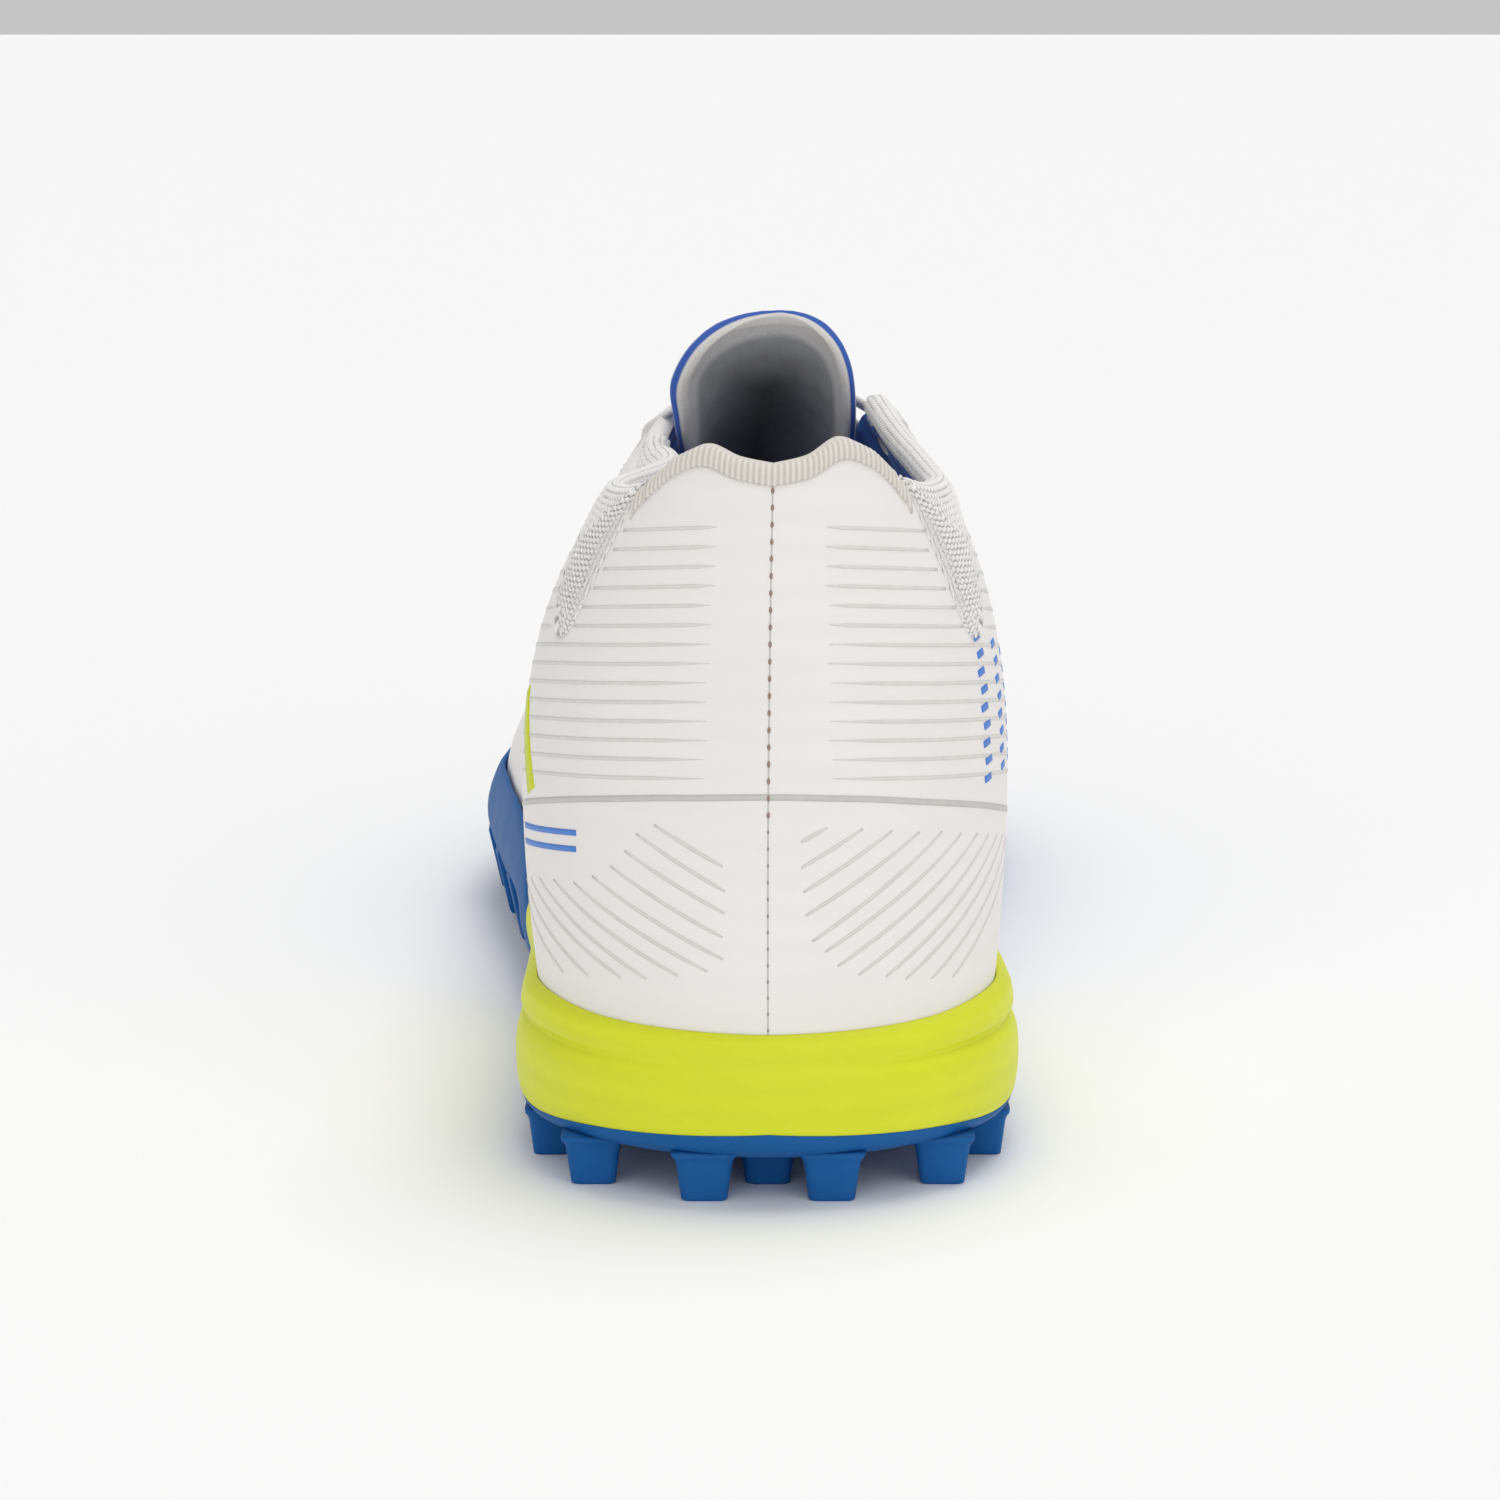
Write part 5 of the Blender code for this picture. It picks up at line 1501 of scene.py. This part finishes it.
def make_knit(side):
    stations = np.linspace(KNIT_START, KNIT_END, KNIT_COLUMNS)
    rows = KNIT_OUT_ROWS + KNIT_OVER_ROWS + KNIT_IN_ROWS
    points = np.zeros((KNIT_COLUMNS, rows, 3))
    normals = np.zeros_like(points)
    flat = np.zeros((KNIT_COLUMNS, rows, 2))
    run = 0.0
    last = None
    for i, u in enumerate(stations):
        s = side * round(float(u), 6)
        low = seam_length(s) - GAP
        top = rib(s).top
        edge = skin(s, top)
        if last is not None:
            run += float(np.linalg.norm(edge - last))
        last = edge
        radius = min(KNIT_ROLL, 0.8 * (top - low))
        straight = top - radius * 0.9
        shares = np.linspace(0, 1, KNIT_OUT_ROWS)
        for j, share in enumerate(shares):
            length = low + share * (max(straight, low + 0.0005) - low)
            from_seam = (length - low)
            near_edge = min(from_seam, 0.004) / 0.004
            puff = 0.0006 * math.sqrt(max(0.0, 1 - (1 - near_edge) ** 2)) - 0.0003
            points[i, j] = wall(s, length, puff)
            normals[i, j] = outward(s, length)
            flat[i, j] = (run, top - length)
        up = unit(skin(s, top) - skin(s, top - 0.001))
        out = outward(s, top - 0.001)
        start = points[i, KNIT_OUT_ROWS - 1]
        centre = start - out * radius
        for j, turn in enumerate(np.linspace(0, math.pi, KNIT_OVER_ROWS + 1)[1:]):
            k = KNIT_OUT_ROWS + j
            direction = out * math.cos(turn) + up * math.sin(turn)
            points[i, k] = centre + direction * radius
            normals[i, k] = direction
            flat[i, k] = (run, radius * 0.9 - turn * radius)
        for j, t in enumerate(np.linspace(0, 1, KNIT_IN_ROWS + 1)[1:]):
            k = KNIT_OUT_ROWS + KNIT_OVER_ROWS + j
            down = t * (max(straight, low + 0.0005) - low)
            length = max(straight, low + 0.0005) - down
            points[i, k] = wall(s, length, -2 * radius * (0.90 + 0.08 * math.sin(math.pi * t)))
            normals[i, k] = -outward(s, length)
            flat[i, k] = (run, radius * 0.9 - math.pi * radius - down)
    # Loops follow the band's back and upper edge
    seam_line = [(x, y) for (x, y), u in zip(flat[:, 0], stations) if u <= 0.126]
    guide = np.array(seam_line[::-1] + [(x, 0.0) for x in flat[:, 0, 0] if x > seam_line[0][0]])
    guide_run = np.r_[0, np.cumsum(np.linalg.norm(np.diff(guide, axis=0), axis=1))]
    spots = flat.reshape(-1, 2)
    best = np.full(len(spots), 1e9)
    along = np.zeros(len(spots))
    sign = np.ones(len(spots))
    for k in range(len(guide) - 1):
        a, b = guide[k], guide[k + 1]
        d = b - a
        size = float(d @ d)
        if size < 1e-14:
            continue
        t = np.clip((spots - a) @ d / size, 0, 1)
        near = a + t[:, None] * d
        gap = np.linalg.norm(spots - near, axis=1)
        better = gap < best
        best = np.where(better, gap, best)
        along = np.where(better, guide_run[k] + t * math.sqrt(size), along)
        cross = d[0] * (spots[:, 1] - a[1]) - d[1] * (spots[:, 0] - a[0])
        sign = np.where(better, np.where(cross >= 0, 1.0, -1.0), sign)
    relief = knit_height(best * sign, along).reshape(KNIT_COLUMNS, rows)
    steps = np.arange(rows)
    edge_fade = np.clip(steps / 3, 0, 1)[None, :] * np.clip((rows - 1 - steps) / 3, 0, 1)[None, :]
    points = points + normals * (relief * KNIT_RELIEF * edge_fade)[..., None]
    lip = KNIT_OUT_ROWS + KNIT_OVER_ROWS
    faces = [tuple(f) for f in grid(KNIT_COLUMNS, rows, False)]
    face_rows = np.tile(np.arange(rows - 1), KNIT_COLUMNS - 1)
    slots = list(np.where(face_rows < lip, 0, 1))
    for i in range(KNIT_COLUMNS - 1):
        faces.append((i * rows, i * rows + rows - 1, (i + 1) * rows + rows - 1, (i + 1) * rows))
        slots.append(1)
    for i in (0, KNIT_COLUMNS - 1):
        faces.append(tuple(i * rows + j for j in range(rows)))
        slots.append(0)
    name = "lateral" if side < 0 else "medial"
    uv = flat.reshape(-1, 2)
    piece("knit_roll_" + name, points.reshape(-1, 3), faces, [KNIT, LINING], slots, uv=uv,
          values={"relief": relief.ravel()}, node="knit_collar_" + name, slot="grey_knit")


# Tongue

TONGUE_RIM = 0.0007
TONGUE_FOLD = 0.0045

# Places of the label: shares of the tongue's line from its top, and of its half breadth
LABEL_ROWS = (0.375, 0.465)
LABEL_COLUMNS = (-0.26, 0.52)


def make_tongue():
    shares = np.unique(np.r_[np.linspace(0, 0.02, 12), np.linspace(0.02, 0.12, 26), np.linspace(0.12, 1, 70)])
    across = np.sin(np.linspace(-1, 1, 61) * math.pi / 2)
    half = TONGUE_WALL / 2
    middle = np.array([[tongue_point(t, c, 0.0) for c in across] for t in shares])
    outer = np.array([[tongue_point(t, c, half) for c in across] for t in shares])
    inner = np.array([[tongue_point(t, c, -half) for c in across] for t in shares])
    # thinner at the free edges
    edge_share = np.clip((1 - np.abs(across)) / 0.06, 0, 1)[None, :]
    top_share = np.clip(shares / 0.012, 0, 1)[:, None]
    thin = (0.35 + 0.65 * np.sqrt(edge_share * top_share))[..., None]
    outer = middle + (outer - middle) * thin
    inner = middle + (inner - middle) * thin
    rim = np.concatenate([middle[::-1, 0], middle[0], middle[:, -1]])
    flat = middle.reshape(-1, 3)
    border = np.array([np.linalg.norm(rim - p, axis=1).min() for p in flat])
    points, faces = shell(outer, inner, False)
    slots = np.concatenate([np.full(len(f), k) for f, k in zip(faces, [1] + [0] * (len(faces) - 1))])
    # the cloth's edge is turned over onto the outer face
    outside = border[faces[0]].mean(axis=1)
    slots[:len(outside)] = np.where(outside < TONGUE_FOLD, 0, 1)
    run = np.r_[0, np.cumsum(np.linalg.norm(np.diff(middle[:, 30], axis=0), axis=1))]
    width = np.r_[0, np.cumsum(np.linalg.norm(np.diff(middle[50], axis=0), axis=1))]
    uv = np.array([(w, r) for r in run for w in width])
    piece("tongue_cloth", points, np.concatenate(faces), [TONGUE_IN, TONGUE_OUT], slots,
          uv=np.concatenate([uv, uv]), values={"border": np.r_[border, border + TONGUE_RIM]},
          node="tongue", slot="tongue_cloth")
    # a blank label sewn inside
    rows = np.linspace(*LABEL_ROWS, 12)
    columns = np.linspace(*LABEL_COLUMNS, 14)
    front = np.array([[tongue_point(t, c, -half - 0.0002) for c in columns] for t in rows])
    back = np.array([[tongue_point(t, c, -half - 0.0006) for c in columns] for t in rows])
    points, faces = shell(front, back, False)
    piece("tongue_label", points, np.concatenate(faces), [LABEL], slot="tongue_cloth")


# Laces

LACE_SECTION = 12
LACE_OVER = EYESTAY_STEP + LACE_THICKNESS / 2 + LACE_LIFT
LACE_DIP = 0.0030
LACE_DIP_FROM = 0.88
LACE_DIP_NARROWING = 0.42
LACE_CROSS_STEP = 1.1 * LACE_THICKNESS


def instep(start, end, across):
    """A place over the instep, from the lateral eyelet at -1 to the medial one at 1."""
    u = float(start + (end - start) * (across + 1) / 2)
    s = u if across > 0 else -u
    here = rib(s)
    to_eyelet = here.full - here.top + EYELET_INSET
    return s, here.full - abs(across) * to_eyelet


def tongue_top(y):
    """Height of the tongue's outer face along its middle."""
    shares = np.linspace(0.05, 1, 60)
    line = np.array([tongue_point(share, 0.0, TONGUE_WALL / 2) for share in shares])
    return float(np.interp(y, line[:, 1], line[:, 2]))


def lace_strap(start, end, rise):
    """A flat lace from one eyelet over the tongue to the other, dipping into both."""
    stops = np.sin(np.linspace(-1, 1, 41) * math.pi / 2)
    ends = [instep(start, end, across) for across in (-1.0, 1.0)]
    feet = [skin(*place_at) for place_at in ends]
    normals = [outward(*place_at) for place_at in ends]
    lateral, medial = (foot + normal * LACE_OVER for foot, normal in zip(feet, normals))
    middle = (lateral + medial) / 2
    crown = max(tongue_top(middle[1]) + LACE_OVER, middle[2] + 0.001) + rise
    centres = []
    for across in stops:
        share = (across + 1) / 2
        centre = lateral + (medial - lateral) * share
        centre[2] += (crown - middle[2]) * (1 - abs(across) ** 2.2)
        centres.append(centre)
    centres = np.array(centres)
    along = np.gradient(centres, axis=0)
    points = []
    for across, centre, run in zip(stops, centres, along):
        share = (across + 1) / 2
        level = normals[0] + (normals[1] - normals[0]) * share + np.array([0, 0, 0.6 * (1 - across ** 2)])
        normal = unit(level - unit(run) * float(level @ unit(run)))
        side = unit(np.cross(normal, run))
        dip = np.clip((abs(across) - LACE_DIP_FROM) / (1 - LACE_DIP_FROM), 0, 1)
        centre = centre - normal * LACE_DIP * dip ** 2
        width = LACE_WIDTH * (1 - LACE_DIP_NARROWING * dip) / 2
        thick = LACE_THICKNESS / 2
        for k in range(LACE_SECTION):
            a = 2 * math.pi * k / LACE_SECTION
            x = math.copysign(abs(math.cos(a)) ** 0.45, math.cos(a))
            z = math.copysign(abs(math.sin(a)) ** 0.75, math.sin(a))
            points.append(centre + side * x * width + normal * z * thick)
    count = len(stops)
    faces = []
    for k in range(count - 1):
        for i in range(LACE_SECTION):
            a, b = k * LACE_SECTION + i, k * LACE_SECTION + (i + 1) % LACE_SECTION
            faces.append((a, b, b + LACE_SECTION, a + LACE_SECTION))
    faces += [tuple(range(LACE_SECTION)), tuple(range((count - 1) * LACE_SECTION, count * LACE_SECTION))]
    return points, faces


def make_laces():
    places = eyelet_stations()
    straps = [lace_strap(places[-1], places[-1], 0.0)]
    for high, low in zip(places[:-1], places[1:]):
        straps.append(lace_strap(high, low, 0.0))
        straps.append(lace_strap(low, high, LACE_CROSS_STEP))
    points, faces = merge(straps)
    uv = []
    for strap in straps:
        for k in range(len(strap[0])):
            uv.append(((k // LACE_SECTION) * 0.0012, (k % LACE_SECTION) * 0.0009))
    piece("lace_cords", points, faces, [LACE], uv=uv, node="laces", slot="white_lace")


# Sole

SOLE_STEP = 0.0045


def make_sole():
    stations = dense(SOLE_STATIONS, SOLE_STEP)
    loft("foam_midsole", lambda s: rounded(foam_profile(s)), stations, materials=[FOAM], node="midsole",
         slot="lime_foam")
    loft("insole_board", lambda s: rounded(insole_profile(s), 1), stations, materials=[INSOLE_TOP],
         node="insole", slot="insole_foam")
    base = loft("rubber_outsole", lambda s: rounded(rubber_profile(s)), stations, materials=[RUBBER],
                node="outsole", slot="blue_rubber")
    piece("rubber_lugs", *merge(lugs() + side_ribs()), [RUBBER], slot="blue_rubber")
    return base


def lug(loops):
    """A tapered block from a stack of rounded four-sided loops."""
    points, faces = [], []
    per_corner = 4
    for corners, roundness in loops:
        corners = np.array(corners, float)
        for i in range(4):
            here, before, after = corners[i], corners[i - 1], corners[(i + 1) % 4]
            size = roundness
            a = here + unit(before - here) * size
            b = here + unit(after - here) * size
            for t in np.linspace(0, 1, per_corner):
                points.append((1 - t) ** 2 * a + 2 * t * (1 - t) * here + t * t * b)
    ring_size = 4 * per_corner
    for k in range(len(loops) - 1):
        for i in range(ring_size):
            a, b = k * ring_size + i, k * ring_size + (i + 1) % ring_size
            faces.append((a, b, b + ring_size, a + ring_size))
    faces += [tuple(range(ring_size)), tuple(range((len(loops) - 1) * ring_size, len(loops) * ring_size))]
    return points, faces


# Sections of a lug. down: share of its height; size: share of its breadth at the top
LUG_SECTIONS = (
    (-0.10, 1.13), (0.00, 1.11), (0.05, 1.04), (0.12, 0.99),
    (0.22, 0.95), (0.90, 0.80), (0.97, 0.785), (1.00, 0.73),
)


def lugs():
    made = []
    corners = ((-1, -1), (1, -1), (1, 1), (-1, 1))
    for at, span, count, size in LUG_ROWS:
        y = at * LENGTH
        middle = float(PLAN["centre"](at)) * BALL_WIDTH
        tip = max(0.0, float(underside(y)) - LUG_HEIGHT)
        for k in range(count):
            x = middle + (2 * k / (count - 1) - 1) * span * BALL_WIDTH
            half = LUG_SIZE * size / 2
            loops = []
            for down, share in LUG_SECTIONS:
                loop = []
                for i, j in corners:
                    px, py = x + i * half * share, y + j * half * share
                    top = float(underside(py)) + 0.0003
                    loop.append((px, py, top + (tip - top) * down))
                loops.append((loop, half * (0.35 if share > 0.9 else 0.28)))
            made.append(lug(loops))
    return made


def side_ribs():
    made = []
    for side in (-1, 1):
        for u in np.linspace(SIDE_RIB_START, SIDE_RIB_END, SIDE_RIBS):
            s = side * float(u)
            point, out = outline(s)
            along = np.array([-out[1], out[0]])
            low = max(float(underside(point[1])) - LUG_HEIGHT, 0.0) + SIDE_RIB_FOOT
            base = sole_value("base", s) * BALL_WIDTH
            foot_in, top_in = base - SIDE_RIB_PROUD, SIDE_RIB_TOP_INSET
            ends = (
                (low, foot_in + 0.0004, foot_in + SIDE_RIB_FOOT_DEPTH, 0.31),
                (low + 0.0005, foot_in, foot_in + SIDE_RIB_FOOT_DEPTH, 0.36),
                (low + SIDE_RIB_HEIGHT * 0.92, top_in + 0.0002, top_in + SIDE_RIB_TOP_DEPTH, 0.49),
                (low + SIDE_RIB_HEIGHT, top_in + 0.0006, top_in + SIDE_RIB_TOP_DEPTH, 0.50),
            )
            loops = []
            for z, near, far, half in ends:
                spots = [(near, -half), (near, half), (far, half), (far, -half)]
                loop = [(*(point - out * i + along * j * SIDE_RIB_WIDTH), z) for i, j in spots]
                loops.append((loop, 0.0004))
            made.append(lug(loops))
    return made


# Camera, floor and light

CAMERA_PLACE = (SHIFT[0] - 0.0026, -0.6635, 0.16719)
CAMERA_DOWN = 10.885
FOCAL_PIXELS = 3804.2
FRAME_PIXELS = 1500
SENSOR = 36

# Suns: name, tilt and turn in degrees, strength, angle in degrees
SUNS = (("top", 14, 320, 0.95, 35), ("back", 65, 190, 0.80, 80))


def make_stage():
    camera = bpy.data.objects.new("camera", bpy.data.cameras.new("camera"))
    bpy.context.scene.collection.objects.link(camera)
    camera.location = CAMERA_PLACE
    camera.rotation_euler = (math.radians(90 - CAMERA_DOWN), 0, 0)
    camera.data.sensor_width = SENSOR
    camera.data.lens = FOCAL_PIXELS / FRAME_PIXELS * SENSOR
    camera.data.clip_start = 0.01
    bpy.context.scene.camera = camera

    floor, _, shader = base_material("floor", 0.9, 0.0, 0.1)
    shader.inputs["Base Color"].default_value = (0.98, 0.98, 0.98, 1)
    size = 40.0
    mesh = bpy.data.meshes.new("floor")
    corners = [(-size, -size, 0), (size, -size, 0), (size, size, 0), (-size, size, 0)]
    mesh.from_pydata(corners, [], [(0, 1, 2, 3)])
    mesh.materials.append(floor)
    ground = bpy.data.objects.new("floor", mesh)
    bpy.context.scene.collection.objects.link(ground)

    world = bpy.data.worlds.new("studio")
    bpy.context.scene.world = world
    world.use_nodes = True
    back = world.node_tree.nodes["Background"]
    back.inputs[0].default_value = (1, 1, 1, 1)
    back.inputs[1].default_value = 0.56
    for name, tilt, turn, strength, softness in SUNS:
        light = bpy.data.lights.new(name, "SUN")
        light.energy = strength
        light.angle = math.radians(softness)
        lamp = bpy.data.objects.new(name, light)
        bpy.context.scene.collection.objects.link(lamp)
        lamp.rotation_euler = (math.radians(tilt), 0, math.radians(turn - 180))
    bpy.context.scene.view_settings.view_transform = "Standard"


make_stage()
make_sole()
make_upper()
make_prints()
make_stitches()
make_binding()
for side in (-1, 1):
    make_knit(side)
make_tongue()
make_laces()
